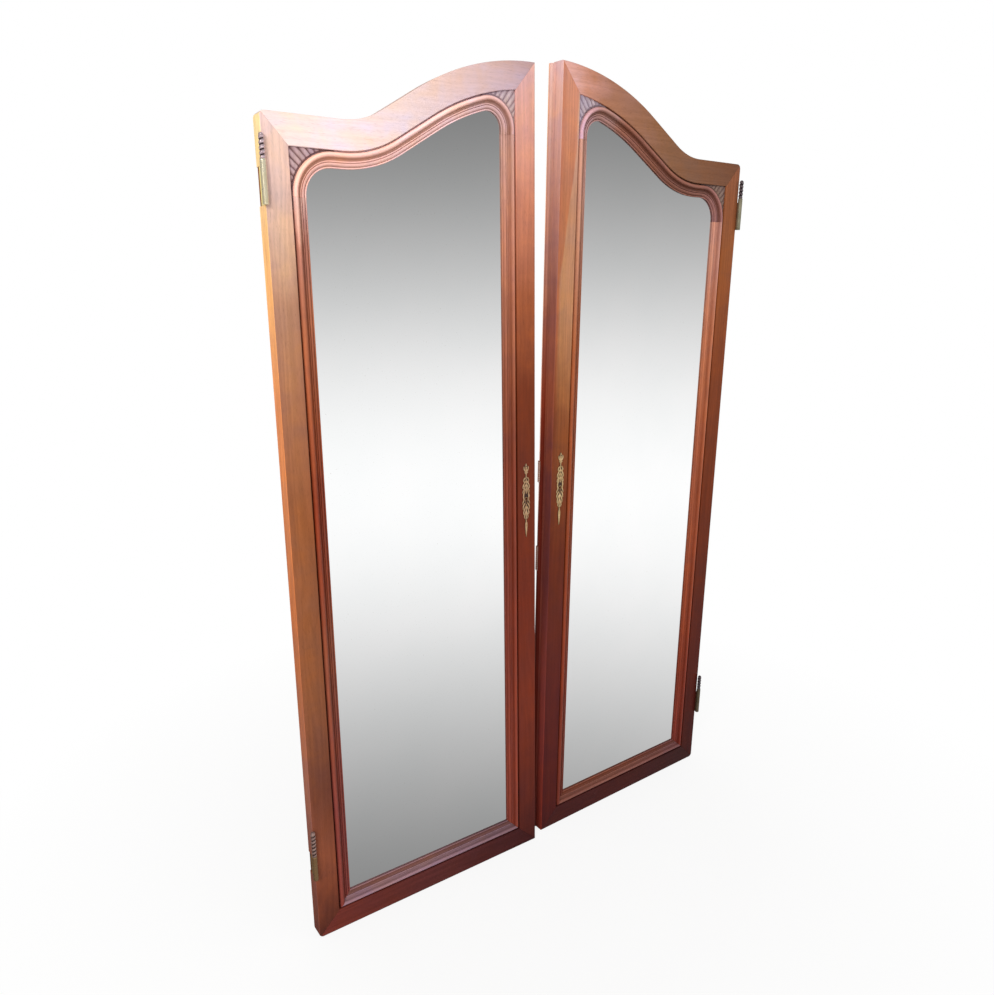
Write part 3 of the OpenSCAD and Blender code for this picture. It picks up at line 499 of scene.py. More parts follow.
def walnut(name, tones, grain="Z", tone_axis=None, tone_span=(0.0, CROWN_H),
           pith=(0.0, 0.12), figure=1.0, across=None, relief=None, coat=0.07, shift=0.0,
           over_face=None, streak=None):
    """tones are (millimetres along the door, then an sRGB colour) stops."""
    wood, place, shader = finish_of(name, {"Coat Weight": coat, **VARNISH})
    tree, source, tone_axis = place.tree, place, tone_axis or grain
    stretch, keep = {"Z": ((1, 1, GRAIN_STRETCH), (1, 1, 0)),
                     "X": ((GRAIN_STRETCH, 1, 1), (0, 1, 1))}[grain]
    if across:
        stretch, keep = (1, GRAIN_STRETCH, 1), (1, 1, 1)
        source = wire(tree, "ShaderNodeUVMap", uv_map="UVMap")
    board = wire(tree, "ShaderNodeMapping", {
        "Vector": source, "Location": (shift, shift * 0.7, shift * 1.3),
        "Scale": stretch})
    bands = noise(board, 24.0, 3.0, 0.55, 0.4)
    streaks = noise(board, 115.0, 3.0, 0.6)
    fibre = noise(board, 760.0, 3.0, 0.6)
    pores = remap(noise(board, 1500.0, 1.0), 0.6, 0.7)
    # Light moves across the grain too, where the fibres wave
    waves = noise(source, 19.0, distortion=0.5)
    # The rings are distances from the heart of the tree, pushed about by the bands
    heart = (pith[0] + shift, pith[1] + shift * 0.7, 0)
    radius = vector("LENGTH", vector("MULTIPLY", vector("SUBTRACT", board, heart), keep),
                    out="Value")
    rings = calc("MULTIPLY_ADD", radius, RING_PACE, bands * RING_SWAY)
    rings = remap(calc("SINE", rings), -1, 1) * streaks
    # Tone along the board, painted light: pale sheen high up and shade at the foot
    low, high = tone_span
    base = FLOOR if tone_axis == "Z" else 0.0
    drift = bands * 0.16 + waves * 0.10 - 0.13
    along = remap(place["XYZ".index(tone_axis)] + drift, low / 1000 + base,
                  high / 1000 + base)
    colour = ramp(along, [((mm - low) / (high - low), tint_of(*rgb))
                          for mm, *rgb in tones])
    if over_face:
        x0, x1, stops = over_face
        over = place[0] + (bands - 0.5) * 0.012
        colour = dyed(colour, ramp(remap(over, x0, x1), stops))
    if streak:
        colour = streak(place, streaks, colour)
    orange = dyed(colour, (1.10, 0.98, 0.82, 1))
    mauve = dyed(colour, (0.93, 0.94, 1.10, 1))
    colour = mixed(remap(bands + waves, 0.7, 1.3), mauve, orange)
    # The across ramp paints light and shade over the moulding's profile
    if across:
        # A ramp stops at 1, so it holds half of each change and the result is doubled
        over = remap(source[0], 0.0, PROFILE_LEN / 1000)
        colour = scaled(dyed(colour, ramp(over, [
            (mm / PROFILE_LEN, (v * 0.5, v * w * 0.5, v * w * w * 0.5, 1))
            for mm, v, w in across])), 2.0)
    # The relief ramp paints shade into carved grooves and highlights on the crests
    if relief:
        colour = dyed(colour, ramp(relief_of(tree), relief))
    shade = (remap(rings, 0.1, 0.5, 1 + 0.04 * figure, 1 - 0.10 * figure)
             * remap(fibre, 0.3, 0.7, 1 - 0.05 * figure, 1 + 0.05 * figure)
             * remap(streaks, 0.3, 0.7, 1 - 0.11 * figure, 1 + 0.10 * figure)
             * remap(pores, 0, 1, 1.0, 0.80))
    coated(shader, scaled(colour, shade), remap(fibre, 0.3, 0.7, 0.36, 0.48),
           fibre * 0.5 - pores, 0.18, 0.0002)
    return wood


# %% Tones of each board, from the foot upwards or from left to right
# Each stop is a distance in millimetres and an sRGB colour. The tones hold painted light:
# pale sheen high up, on the left top rail most of all, and shade at the foot; the left
# door's edges painted lit; the right door's boards painted darker, as shade; the left
# bottom moulding painted pale with sheen; an orange band low on the left hanging stile
# painted where light falls; and the recess painted dark, as shade
TONES = {
    "left_hanging": [(0, 84, 42, 33), (90, 120, 64, 43), (180, 142, 80, 53),
        (340, 114, 66, 48), (575, 138, 86, 56), (1000, 149, 93, 58),
        (1200, 162, 112, 84), (1380, 180, 136, 108), (1500, 208, 175, 153),
        (1620, 231, 202, 190), (1860, 236, 217, 213)],
    "left_side": [(0, 112, 62, 50), (345, 148, 96, 80), (800, 192, 116, 72),
        (1200, 228, 148, 96), (1468, 252, 196, 130), (1670, 255, 232, 172)],
    "left_meeting": [(0, 74, 30, 26), (120, 88, 37, 30), (405, 114, 49, 33),
        (671, 110, 44, 27), (980, 106, 47, 28), (1155, 117, 54, 29),
        (1377, 158, 90, 57), (1585, 198, 132, 106), (1745, 220, 166, 152),
        (1860, 226, 182, 176)],
    "left_base": [(0, 112, 50, 40), (300, 88, 43, 39), (600, 62, 25, 26)],
    "left_top": [(0, 242, 222, 218), (150, 242, 226, 232), (280, 236, 214, 208),
        (420, 220, 194, 192), (600, 186, 160, 166)],
    "right_meeting": [(0, 76, 28, 26), (80, 82, 30, 27), (420, 90, 36, 32),
        (788, 102, 45, 27), (1100, 136, 76, 42), (1200, 158, 100, 62),
        (1378, 184, 128, 92), (1588, 186, 133, 104), (1750, 203, 153, 131),
        (1860, 213, 164, 144)],
    "right_hanging": [(0, 66, 27, 24), (365, 84, 33, 25), (826, 108, 48, 24),
        (1242, 127, 67, 39), (1497, 146, 87, 50), (1705, 140, 88, 62)],
    "right_base": [(633, 70, 31, 30), (930, 71, 31, 29), (1232, 57, 28, 27)],
    "right_top": [(633, 222, 170, 154), (700, 196, 142, 122), (760, 166, 118, 94),
        (960, 134, 95, 68), (1232, 116, 76, 54)],
    "right_side": [(0, 122, 48, 37), (250, 128, 56, 47), (500, 120, 57, 49),
        (675, 98, 48, 44), (950, 105, 56, 52), (1160, 146, 80, 56), (1375, 142, 91, 79),
        (1570, 181, 132, 119), (1800, 215, 176, 165), (1860, 228, 192, 186)],
    "lip": [(0, 104, 48, 40), (500, 108, 55, 47), (1000, 112, 60, 52),
        (1160, 145, 79, 56), (1375, 141, 90, 78), (1570, 180, 131, 118),
        (1800, 213, 173, 162), (1860, 228, 190, 184)],
    "recess": [(0, 60, 32, 22), (1860, 150, 92, 52)],
    "back": [(0, 104, 66, 44), (900, 126, 84, 56), (1860, 150, 106, 74)],
    "left_mould": [(0, 122, 57, 50), (300, 121, 58, 51), (480, 124, 64, 50),
        (660, 134, 73, 50), (800, 127, 60, 38), (1000, 127, 54, 31),
        (1200, 153, 83, 52), (1350, 168, 103, 74), (1480, 172, 116, 98),
        (1560, 219, 180, 167), (1860, 224, 182, 168)],
    "left_mould_meeting": [(0, 130, 61, 47), (250, 134, 62, 46), (450, 126, 57, 42),
        (700, 122, 54, 38), (1000, 127, 61, 42), (1200, 140, 80, 57),
        (1400, 165, 107, 86), (1550, 188, 132, 112), (1700, 198, 156, 144),
        (1860, 200, 158, 150)],
    "left_mould_top": [(0, 234, 182, 163), (200, 230, 188, 178), (400, 230, 196, 196),
        (600, 170, 132, 128)],
    "left_mould_bottom": [(0, 142, 110, 118), (300, 136, 106, 112), (600, 108, 80, 84)],
    "right_mould": [(0, 104, 46, 34), (400, 118, 50, 32), (700, 124, 56, 32),
        (1000, 135, 67, 35), (1300, 154, 88, 54), (1570, 180, 134, 112),
        (1600, 182, 136, 118), (1860, 190, 146, 128)],
    "right_mould_hanging": [(0, 118, 47, 38), (340, 128, 55, 37), (600, 146, 70, 42),
        (1000, 162, 90, 60), (1200, 172, 106, 76), (1300, 178, 112, 82),
        (1480, 189, 137, 119), (1705, 196, 142, 126)],
    "right_mould_top": [(633, 188, 152, 168), (690, 190, 152, 158),
        (730, 160, 122, 118), (780, 156, 120, 112), (840, 136, 91, 79),
        (1000, 123, 82, 70), (1110, 124, 84, 74), (1145, 141, 99, 95),
        (1232, 141, 99, 95)],
    "right_mould_bottom": [(633, 124, 74, 60), (900, 126, 80, 68), (1232, 108, 71, 74)],
    "board": [(0, 150, 116, 82), (900, 166, 130, 94), (1860, 176, 142, 106)],
    "batten": [(0, 132, 92, 60), (900, 146, 104, 70), (1860, 158, 116, 80)],
    "batten_cross": [(0, 132, 92, 60), (1860, 158, 116, 80)]}


# %% [markdown]
# ## Mouldings are finished across as well as along
# A ramp across the moulding paints light and shade on it. The moulding's UV map runs
# across its profile, so the ramp paints shade into the hollow and the quirks and
# highlights onto the outer bead, the reed and the inner bead, all the way round.

# %% The profile of the moulding
BEAD_R, HOLLOW_R, REED_R, OVOLO_R, INNER_BEAD_R = 5.0, 4.5, 1.25, 6.5, 1.5
QUIRK_W = MOULD_W - 2 * BEAD_R - HOLLOW_R - 2 * REED_R - OVOLO_R - 2 * INNER_BEAD_R


def arc(cx, cy, r, a0, a1, n=8):
    """Points round a centre, from angle a0 to a1 in degrees."""
    turn = [math.radians(a0 + (a1 - a0) * i / n) for i in range(n + 1)]
    return [(cx + r * math.cos(a), cy + r * math.sin(a)) for a in turn]


reed_m = 2 * BEAD_R + HOLLOW_R + REED_R
ovolo_m = reed_m + REED_R + QUIRK_W
profile = (
    [(0.05, STEP_Y), (0.05, 6.0)]
    + arc(BEAD_R, 3, BEAD_R - 0.05, 180, 352, 18)
    + arc(2 * BEAD_R + HOLLOW_R, 3, HOLLOW_R, 165, 92)
    + arc(reed_m, 7.2, REED_R, 172, 360)
    + [(reed_m + REED_R + 0.1, 8.5), (ovolo_m - 0.2, 8.5), (ovolo_m - 0.2, 7.2)]
    + arc(ovolo_m + 0.1, 13, OVOLO_R, -90, -28, 10)
    + [(MOULD_W - 2 * INNER_BEAD_R, 10.9)]
    + arc(MOULD_W - INNER_BEAD_R, 10.6, INNER_BEAD_R - 0.02, 195, 360, 9)
    + [(MOULD_W - 0.02, GLASS_Y - 0.05), (9.3, GLASS_Y - 0.05), (9.3, STEP_Y)])
HIDDEN_POINTS = 3
steps_across = np.linalg.norm(np.diff(np.array(profile), axis=0), axis=1)
reach = np.concatenate([[0], np.cumsum(steps_across)])
PROFILE_LEN = float(reach[-1])


def at_width(m):
    """Length along the profile where the visible surface is m from the outer edge."""
    front = zip(reach, profile[:-HIDDEN_POINTS])
    return float(min(front, key=lambda e: abs(e[1][0] - m))[0])


def light_across(*stops, end):
    """Painted light and shade over the profile: (millimetres from the outer edge,
    lightness, warmth).
    """
    return [(at_width(m), v, w) for m, v, w in stops] + [(PROFILE_LEN, *end)]


# Painted shade in the hollow and the quirks, painted highlights on the beads and the reed
ACROSS = light_across(
    (0, 1.2, 0.98), (0.4, 1.2, 0.98), (1.6, 1.35, 1.0), (4.0, 1.5, 1.0), (6.6, 1.2, 0.98),
    (9.0, 0.76, 0.87), (10.2, 0.6, 0.80), (13.4, 0.72, 0.85), (14.4, 0.8, 0.93),
    (reed_m, 1.25, 0.99), (reed_m + 1.4, 0.78, 0.95), (ovolo_m + 0.1, 1.2, 0.99),
    (21.5, 1.1, 0.98), (24.4, 0.7, 0.94), (26.5, 1.45, 1.02), (28.0, 0.6, 0.98),
    end=(0.6, 0.95))
# The same painted light and shade, half as strong
ACROSS_MILD = [(at, 0.5 + 0.5 * v, 0.5 + 0.5 * w) for at, v, w in ACROSS]
# At the foot the roll, the reed and the inner bead are painted pale with sheen and
# highlights, and the rest keeps its red
ACROSS_FOOT = light_across(
    (0, 1.0, 1.0), (4.0, 1.35, 1.03), (7.5, 1.25, 1.02), (9.5, 0.9, 1.0),
    (13.4, 0.9, 1.02), (reed_m, 1.35, 1.04), (reed_m + 1.4, 0.72, 0.84),
    (21.5, 0.66, 0.74), (24.4, 0.66, 0.76), (25.4, 1.25, 0.92), (26.5, 1.5, 0.93),
    (28.0, 0.7, 0.95),
    end=(0.7, 0.95))
print("Profile runs", round(PROFILE_LEN, 1), "mm round, quirk", QUIRK_W, "mm")

# %% Grain, painted shade and painted highlight that are special to one board
FACE_W = FACE_SIDE / 1000
RIGHT_X = 0.6335


def sapwood(place, streaks, colour):
    """The pale flame down the right meeting stile, right of a slanting line."""
    line_x = remap(place[2], FLOOR + 1.43, FLOOR + 1.70, RIGHT_X + 0.008, RIGHT_X + 0.046)
    past = place[0] - line_x + (streaks - 0.5) * 0.01
    fade = remap(place[2], FLOOR + 0.9, FLOOR + 1.3)
    sap = mixed(fade, colour, dyed(colour, (1, 1.1, 1.16, 1)))
    heart = mixed(fade, colour, dyed(colour, (0.92, 0.76, 0.70, 1)))
    return mixed(remap(past, -0.001, 0.003), heart, sap)


def lip_shade_and_highlight(place, streaks, colour):
    """Paints shade on the lower part of the lip's rounded front and a pale highlight
    along its back.
    """
    y, z = place[1] + (streaks - 0.5) * 0.002, place[2]
    front = remap(y, 0.0435, 0.0450, 1.0, 0.0)
    outer = remap(place[0], RIGHT_X - 0.0070, RIGHT_X - 0.0050, 1.0, 0.0)
    low = remap(z, FLOOR + 1.1, FLOOR + 1.4, 1.0, 0.0)
    # Painted shade on the lower part of the lip's rounded front
    colour = mixed(front * (outer * low), colour, dyed(colour, (0.60, 0.28, 0.20, 1)))
    # A painted highlight along the lip's back arris: grey low down, then rose, then
    # orange at the top
    grey, rose = tint_of(225, 200, 190), tint_of(215, 170, 150)
    painted_lip_highlight = ramp(remap(z, FLOOR + 0.85, FLOOR + 1.86), [
        (0.0, grey), (0.17, grey), (0.3, rose), (0.6, rose),
        (0.85, tint_of(230, 170, 110))])
    paler_mask = remap(y, 0.0460, 0.0474) * remap(z, FLOOR + 0.85, FLOOR + 0.92)
    return mixed(paler_mask, colour, painted_lip_highlight)


# %% Make the walnut finishes
LEFT_RAIL = dict(grain="X", tone_span=(0.0, DOOR_W))
RIGHT_RAIL = dict(grain="X", tone_span=(633.0, 1232.0))
OVER_LEFT_HANGING = [(0.0, (0.99, 0.97, 1.0)), (0.3, (0.99, 0.98, 0.98)),
                     (0.6, (0.95, 0.94, 0.93)), (1.0, (0.89, 0.85, 0.87))]
OVER_RIGHT_MEETING = [(0.0, (0.88, 0.79, 0.80)), (0.35, (1.0, 1.0, 0.92)),
                      (0.7, (0.97, 0.96, 0.94)), (1.0, (0.94, 0.96, 1.0))]
DETAILS = {
    "left_hanging": dict(pith=(-0.09, 0.10), figure=0.75,
                         over_face=(0.0, FACE_W, OVER_LEFT_HANGING)),
    "left_side": dict(pith=(-0.09, 0.10), coat=0.0),
    "left_meeting": dict(pith=(0.66, 0.09), figure=0.7, shift=0.31),
    "left_top": dict(LEFT_RAIL, pith=(0.0, 0.08), figure=0.35, shift=0.17),
    "left_base": dict(LEFT_RAIL, pith=(0.0, 0.07), shift=0.23),
    "right_hanging": dict(pith=(1.3, 0.12), coat=0.02, shift=0.47),
    "right_side": dict(pith=(0.7, 0.12), coat=0.0, figure=0.7, shift=0.53),
    "right_meeting": dict(pith=(0.55, 0.10), figure=0.8, shift=0.59, streak=sapwood,
                          over_face=(RIGHT_X, RIGHT_X + FACE_W, OVER_RIGHT_MEETING)),
    "right_top": dict(RIGHT_RAIL, pith=(0.0, 0.09), figure=0.6, shift=0.67),
    "right_base": dict(RIGHT_RAIL, pith=(0.0, 0.08), shift=0.71),
    "lip": dict(pith=(0.7, 0.12), figure=0.65, coat=0.0, shift=0.61, streak=lip_shade_and_highlight),
    # The recess finish is painted dark, as shade in the recess
    "recess": dict(coat=0.0),
    "back": dict(pith=(0.3, 0.2), coat=0.0, shift=0.9)}
finish = {name: walnut("walnut_" + name, TONES[name], **details)
          for name, details in DETAILS.items()}

POLISH = 0.28
for name, across, way in (
        ("left_mould", ACROSS_MILD, {}),
        ("left_mould_meeting", ACROSS_MILD, {}),
        ("left_mould_top", ACROSS, LEFT_RAIL),
        ("left_mould_bottom", ACROSS_FOOT, LEFT_RAIL),
        ("right_mould", ACROSS_MILD, {}),
        ("right_mould_hanging", ACROSS_MILD, {}),
        ("right_mould_top", ACROSS, RIGHT_RAIL),
        ("right_mould_bottom", ACROSS_FOOT, RIGHT_RAIL)):
    finish[name] = walnut("walnut_" + name + "ing", TONES[name], across=across,
                          coat=POLISH, shift=0.11 + 0.13 * len(finish), **way)

# The carved ramps paint shade into the grooves and highlights on the crests. The left
# door's carvings and the right meeting one are painted pale, as lit, and the right
# hanging one darker, as shade.
CARVED = [(0.0, (0.22, 0.15, 0.15)), (0.2, (0.34, 0.26, 0.26)),
          (0.45, (0.62, 0.55, 0.55)), (0.75, (0.94, 0.90, 0.92)), (1.0, (1, 1, 1))]
CARVED_MILD = [(0.0, (0.50, 0.45, 0.48)), (0.25, (0.58, 0.52, 0.56)),
               (0.55, (0.78, 0.75, 0.78)), (1.0, (1, 1, 1))]
CARVING_LOW = 1500.0
for name, rgb, relief in (("left_hanging", (194, 168, 165), CARVED),
                          ("left_meeting", (198, 181, 184), CARVED_MILD),
                          ("right_meeting", (182, 172, 186), CARVED_MILD),
                          ("right_hanging", (132, 112, 102), CARVED_MILD)):
    finish[name + "_carved"] = walnut(
        "walnut_" + name + "_carving", [(CARVING_LOW, *rgb), (CROWN_H, *rgb)],
        tone_span=(CARVING_LOW, CROWN_H), relief=relief, shift=0.37 + 0.05 * len(finish))
print(len(finish), "walnut finishes")

# %% [markdown]
# ## The frame of a door
# Two stiles and two rails meet in mitres. The face steps down 10 mm to carry the
# moulding, the outer arris is worn round, and the joint lines stay fine but open. The
# outlines below name each edge, because each kind is rounded differently.


# %% Outlines of the stiles and rails
def tagged(points, tag):
    return [(float(u), float(z), tag) for u, z in points]


foot_cut = 225.0
shoulder_c = (SHOULDER_R, SHOULDER_H - SHOULDER_R)
# The mitre from the shoulder's corner meets the rounded corner at this angle
shoulder_cut = 180 - math.degrees(math.atan2(FACE_CROWN, FACE_SIDE)) + 1.1
crown_in = (DOOR_W - FACE_SIDE, top_z(DOOR_W - FACE_SIDE, FACE_CROWN))
crown_out = (DOOR_W, crest_point(crest_angle(DOOR_W, 0), 0)[1])
shoulder_in = (FACE_SIDE, SHOULDER_H - FACE_CROWN)
foot_turn = arc(FOOT_R, FOOT_R, FOOT_R, 180, foot_cut, 6)
shoulder_turned = arc(*shoulder_c, SHOULDER_R, 90, shoulder_cut)

hanging_outline = (
    [(FACE_SIDE, FACE_BASE, "inner"), (*shoulder_in, "mitre")]
    + tagged(arc(*shoulder_c, SHOULDER_R, shoulder_cut, 180), "outer")
    + tagged(foot_turn[:-1], "outer") + tagged(foot_turn[-1:], "mitre"))
meeting_outline = [
    (*crown_in, "inner"), (DOOR_W - FACE_SIDE, FACE_BASE, "mitre"),
    (DOOR_W, 0, "outer"), (*crown_out, "mitre")]
top_outline = (
    tagged([shoulder_in] + top_curve(FACE_CROWN, DOOR_W - FACE_SIDE)[:-1], "inner")
    + [(*crown_in, "mitre")]
    + tagged([crown_out] + top_curve(0, DOOR_W)[-2::-1], "outer")
    + tagged(shoulder_turned[:-1], "outer") + tagged(shoulder_turned[-1:], "mitre"))
base_outline = (
    tagged(arc(FOOT_R, FOOT_R, FOOT_R, foot_cut, 270, 6), "outer")
    + [(DOOR_W, 0, "mitre"), (DOOR_W - FACE_SIDE, FACE_BASE, "inner"),
       (FACE_SIDE, FACE_BASE, "mitre")])
print("Crown's inner corner at", [round(v, 1) for v in crown_in])

# %% Depths at which a frame board is drawn
OUTER_ARRIS, INNER_ARRIS, BACK_ARRIS = 2.4, 1.5, 1.2
JOINT_GAP, JOINT_CHAMFER = 0.06, 0.35


def frame_levels():
    levels = []
    for y in (0, 0.08, 0.3, 0.7, 1.2, 1.8, 2.4, STEP_Y):
        levels.append((y, {"outer": ease(y, OUTER_ARRIS), "inner": ease(y, INNER_ARRIS),
                           "mitre": JOINT_GAP + max(0, JOINT_CHAMFER - y)}))
    levels.append((STEP_Y, {"inner": -STEP_W, "mitre": JOINT_GAP}))
    for rest in (BACK_ARRIS, 0.6, 0.25, 0):
        levels.append((DOOR_T - rest, {
            "outer": ease(rest, BACK_ARRIS), "inner": ease(rest, BACK_ARRIS) - STEP_W,
            "mitre": JOINT_GAP + max(0, JOINT_CHAMFER - rest)}))
    return levels


def sides_marked(shape, pick, index=1):
    """Gives the faces that pick() names the piece's second finish."""
    for face in shape.faces:
        if pick(face.calc_center_median(), face.normal):
            face.material_index = index
    return shape


def back_marked(shape):
    return sides_marked(shape, lambda c, n: n.y > 0.6 and c.y > STEP_Y + 1, 2)


# %% What is cut out of the boards
LEAF_GAP, LEAF_DEEP = 0.15, 2.0


def hinge_recess(mouth, length):
    return block((-5, -5, mouth - LEAF_GAP),
                 (LEAF_DEEP, DOOR_T + 5, mouth + length + LEAF_GAP), 0.05, 1)


def meeting_rebate():
    return block((DOOR_W - LIP_W - LIP_GAP, DOOR_T - LIP_T - LIP_GAP, -9),
                 (DOOR_W + 9, DOOR_T + 9, CROWN_H + 9), 0.05, 1)


def keyhole(depth, rise):
    """The hole behind the plate: a round above a slot."""
    z = KEYHOLE_Z + rise
    points = arc(KEYHOLE_U, z, 3.0, -52, 232, 20)
    points += [(KEYHOLE_U - 1.8, z - 8.5), (KEYHOLE_U + 1.8, z - 8.5)]
    return stack(tagged(points, "edge"), [(-3, {}), (depth, {})])


def barrel_length(rings):
    return HINGE_H - rings * RING_PITCH


def leaf_length(rings):
    return barrel_length(rings) - LEAF_DROP


RINGS = {("left", "upper"): 5, ("left", "lower"): 7,
         ("right", "upper"): 5, ("right", "lower"): 5}


# %% Make the stiles and rails
LIP_R = 4.0


def lip():
    """The strip glued along the right door's meeting edge, with a rounded front arris."""
    u, y, r = DOOR_W + LIP_W - LIP_R, DOOR_T - LIP_T, LIP_R
    section = [(DOOR_W + HAIR, y), (u, y)]
    section += [(u + r * math.sin(a), y + r - r * math.cos(a))
                for a in np.linspace(0.2, math.pi / 2, 7)]
    section += [(DOOR_W + LIP_W, DOOR_T - 1.2), (DOOR_W + LIP_W - 1.2, DOOR_T),
                (DOOR_W + HAIR, DOOR_T)]
    shape = bmesh.new()
    tube(shape, [[shape.verts.new((u, y, z)) for u, y in section]
                 for z in (0.0, CROWN_H - LIP_DROP)])
    return outward(shape)


def edge_faces(centre, normal):
    return abs(normal.x) > 0.6 and (centre.x < 1.9 or centre.x > DOOR_W - 1)


def lip_faces(centre, normal):
    return centre.x > DOOR_W + 1 and normal.y < 0.6


def recess_faces(centre, normal):
    return abs(normal.x) > 0.6 and abs(centre.x - LEAF_DEEP) < 0.1


MOUTHS = {"upper": UPPER_MOUTH, "lower": LOWER_MOUTH}
for side in ("left", "right"):
    board = cut(stack(hanging_outline, frame_levels()), *(
        hinge_recess(mouth, leaf_length(RINGS[side, end]))
        for end, mouth in MOUTHS.items()))
    board = back_marked(sides_marked(sides_marked(board, edge_faces), recess_faces, 3))
    piece(side + "_hanging_stile", board, side, [
        finish[side + "_hanging"], finish[side + "_side"], finish["back"],
        finish["recess"]])

    board = stack(meeting_outline, frame_levels())
    if side == "left":
        board = cut(board, meeting_rebate(), keyhole(DOOR_T + 3, 0.0))
    else:
        board = joined(cut(board, keyhole(8, PLATE_RISE["right"])), lip())
    board = back_marked(sides_marked(sides_marked(board, edge_faces), lip_faces, 3))
    piece(side + "_meeting_stile", board, side,
          [finish[side + "_meeting"], finish[side + "_side"], finish["back"],
           finish["lip"]])

    for part, outline in (("top", top_outline), ("bottom", base_outline)):
        board = stack(outline, frame_levels())
        if side == "left":
            board = cut(board, meeting_rebate())
        face = finish[side + ("_top" if part == "top" else "_base")]
        piece(f"{side}_{part}_rail", back_marked(board), side,
              [face, face, finish["back"]])
print("Frames:", made_pieces)

# %% [markdown]
# ## Mouldings that follow a path
# A moulding is one profile carried along a line, which is what Geometry Nodes' Curve to
# Mesh does. The tree takes the line from the points of the mesh that it sits on, and
# the profile from another object, and stores a UV map that runs across and along, for
# the grain. The mitres are cut afterwards, as a joiner saws them.


# %% The tree that runs a moulding along a line
def geometry_tree(name, sockets):
    """A Geometry Nodes tree with named inputs, its input node and its output node."""
    tree = bpy.data.node_groups.new(name, "GeometryNodeTree")
    tree.interface.new_socket("Geometry", in_out="INPUT",
                              socket_type="NodeSocketGeometry")
    for label, kind, default in sockets:
        socket = tree.interface.new_socket(label, in_out="INPUT", socket_type=kind)
        if default is not None:
            socket.default_value = default
    tree.interface.new_socket("Geometry", in_out="OUTPUT",
                              socket_type="NodeSocketGeometry")
    return tree, tree.nodes.new("NodeGroupInput"), tree.nodes.new("NodeGroupOutput")


def end_tree(tree, geometry, material, output):
    """Every tree ends in Realize Instances and Set Material."""
    real = wire(tree, "GeometryNodeRealizeInstances", {"Geometry": geometry})
    feed(tree, output.inputs["Geometry"], wire(tree, "GeometryNodeSetMaterial", {
        "Geometry": real, "Material": material}))


def grown(points, tree, values, aims=None):
    """Runs a tree on points, each with an aim if need be; returns the plain mesh."""
    mesh = bpy.data.meshes.new("points")
    mesh.from_pydata([tuple(map(float, p)) for p in points], [], [])
    if aims:
        layer = mesh.attributes.new("aim", "FLOAT_VECTOR", "POINT")
        layer.data.foreach_set("vector", np.array(aims, np.float32).ravel())
    seed = placed("seed", mesh)
    modifier = seed.modifiers.new("tree", "NODES")
    modifier.node_group = tree
    for item in tree.interface.items_tree:
        if item.in_out == "INPUT" and item.name in values:
            modifier[item.identifier] = values[item.name]
    graph = bpy.context.evaluated_depsgraph_get()
    made = bpy.data.meshes.new_from_object(seed.evaluated_get(graph))
    made.polygons.foreach_set("material_index", [0] * len(made.polygons))
    bpy.data.objects.remove(seed)
    return made


def measured_curve(tree, geometry, cyclic):
    """Points in order as a curve, with the length along it."""
    points = wire(tree, "GeometryNodeMeshToPoints", {"Mesh": geometry})
    curve = wire(tree, "GeometryNodePointsToCurves", {"Points": points})
    closed = wire(tree, "GeometryNodeSetSplineCyclic", {"Geometry": curve,
                                                        "Cyclic": cyclic})
    flat = wire(tree, "GeometryNodeSetCurveNormal", {"Curve": closed}, mode="Z_UP")
    capture = tree.nodes.new("GeometryNodeCaptureAttribute")
    capture.capture_items.new("FLOAT", "Length")
    feed(tree, capture.inputs["Geometry"], flat)
    feed(tree, capture.inputs["Length"], wire(
        tree, "GeometryNodeSplineParameter", out="Length"))
    return capture.outputs["Geometry"], capture.outputs["Length"]


moulding_tree, given, result = geometry_tree("moulding_along_line", [
    ("Profile", "NodeSocketObject", None), ("Finish", "NodeSocketMaterial", None)])
line, along = measured_curve(moulding_tree, given.outputs["Geometry"], False)
shape_of = wire(moulding_tree, "GeometryNodeObjectInfo",
                {"Object": given.outputs["Profile"]}, "Geometry")
section, over = measured_curve(moulding_tree, shape_of, True)
swept = wire(moulding_tree, "GeometryNodeCurveToMesh", {
    "Curve": line, "Profile Curve": section, "Fill Caps": True})
uv = scaled(wire(moulding_tree, "ShaderNodeCombineXYZ", {0: over, 1: along}), 0.001)
stored = wire(moulding_tree, "GeometryNodeStoreNamedAttribute", {
    "Geometry": swept, "Name": "UVMap", "Value": uv}, data_type="FLOAT2", domain="CORNER")
end_tree(moulding_tree, stored, given.outputs["Finish"], result)
print("Moulding tree has", len(moulding_tree.nodes), "nodes")

# %% Lines that the mouldings follow, and where they are cut
shoulder_turn = np.array([MOULD_SIDE + SHOULDER_TURN_R,
                          SHOULDER_H - MOULD_CROWN - SHOULDER_TURN_R])
crown_turn_u = DOOR_W - MOULD_SIDE - CROWN_TURN_R
crown_turn_r = CREST_R - MOULD_CROWN - CROWN_TURN_R
crown_turn_a = math.asin((crest_c[0] - crown_turn_u) / crown_turn_r)
crown_turn = np.array([crown_turn_u,
                       crest_c[1] + crown_turn_r * math.cos(crown_turn_a)])
HANGING_BUTT, MEETING_BUTT = shoulder_turn[1] - 3.0, crown_turn[1] - 10.0
BUTT_GAP = 0.12


def turned(centre, radius, a0, a1):
    """Points round a corner; angles are measured from straight up, clockwise."""
    return [centre + radius * np.array([math.sin(a), math.cos(a)])
            for a in np.linspace(a0, a1, 24)]


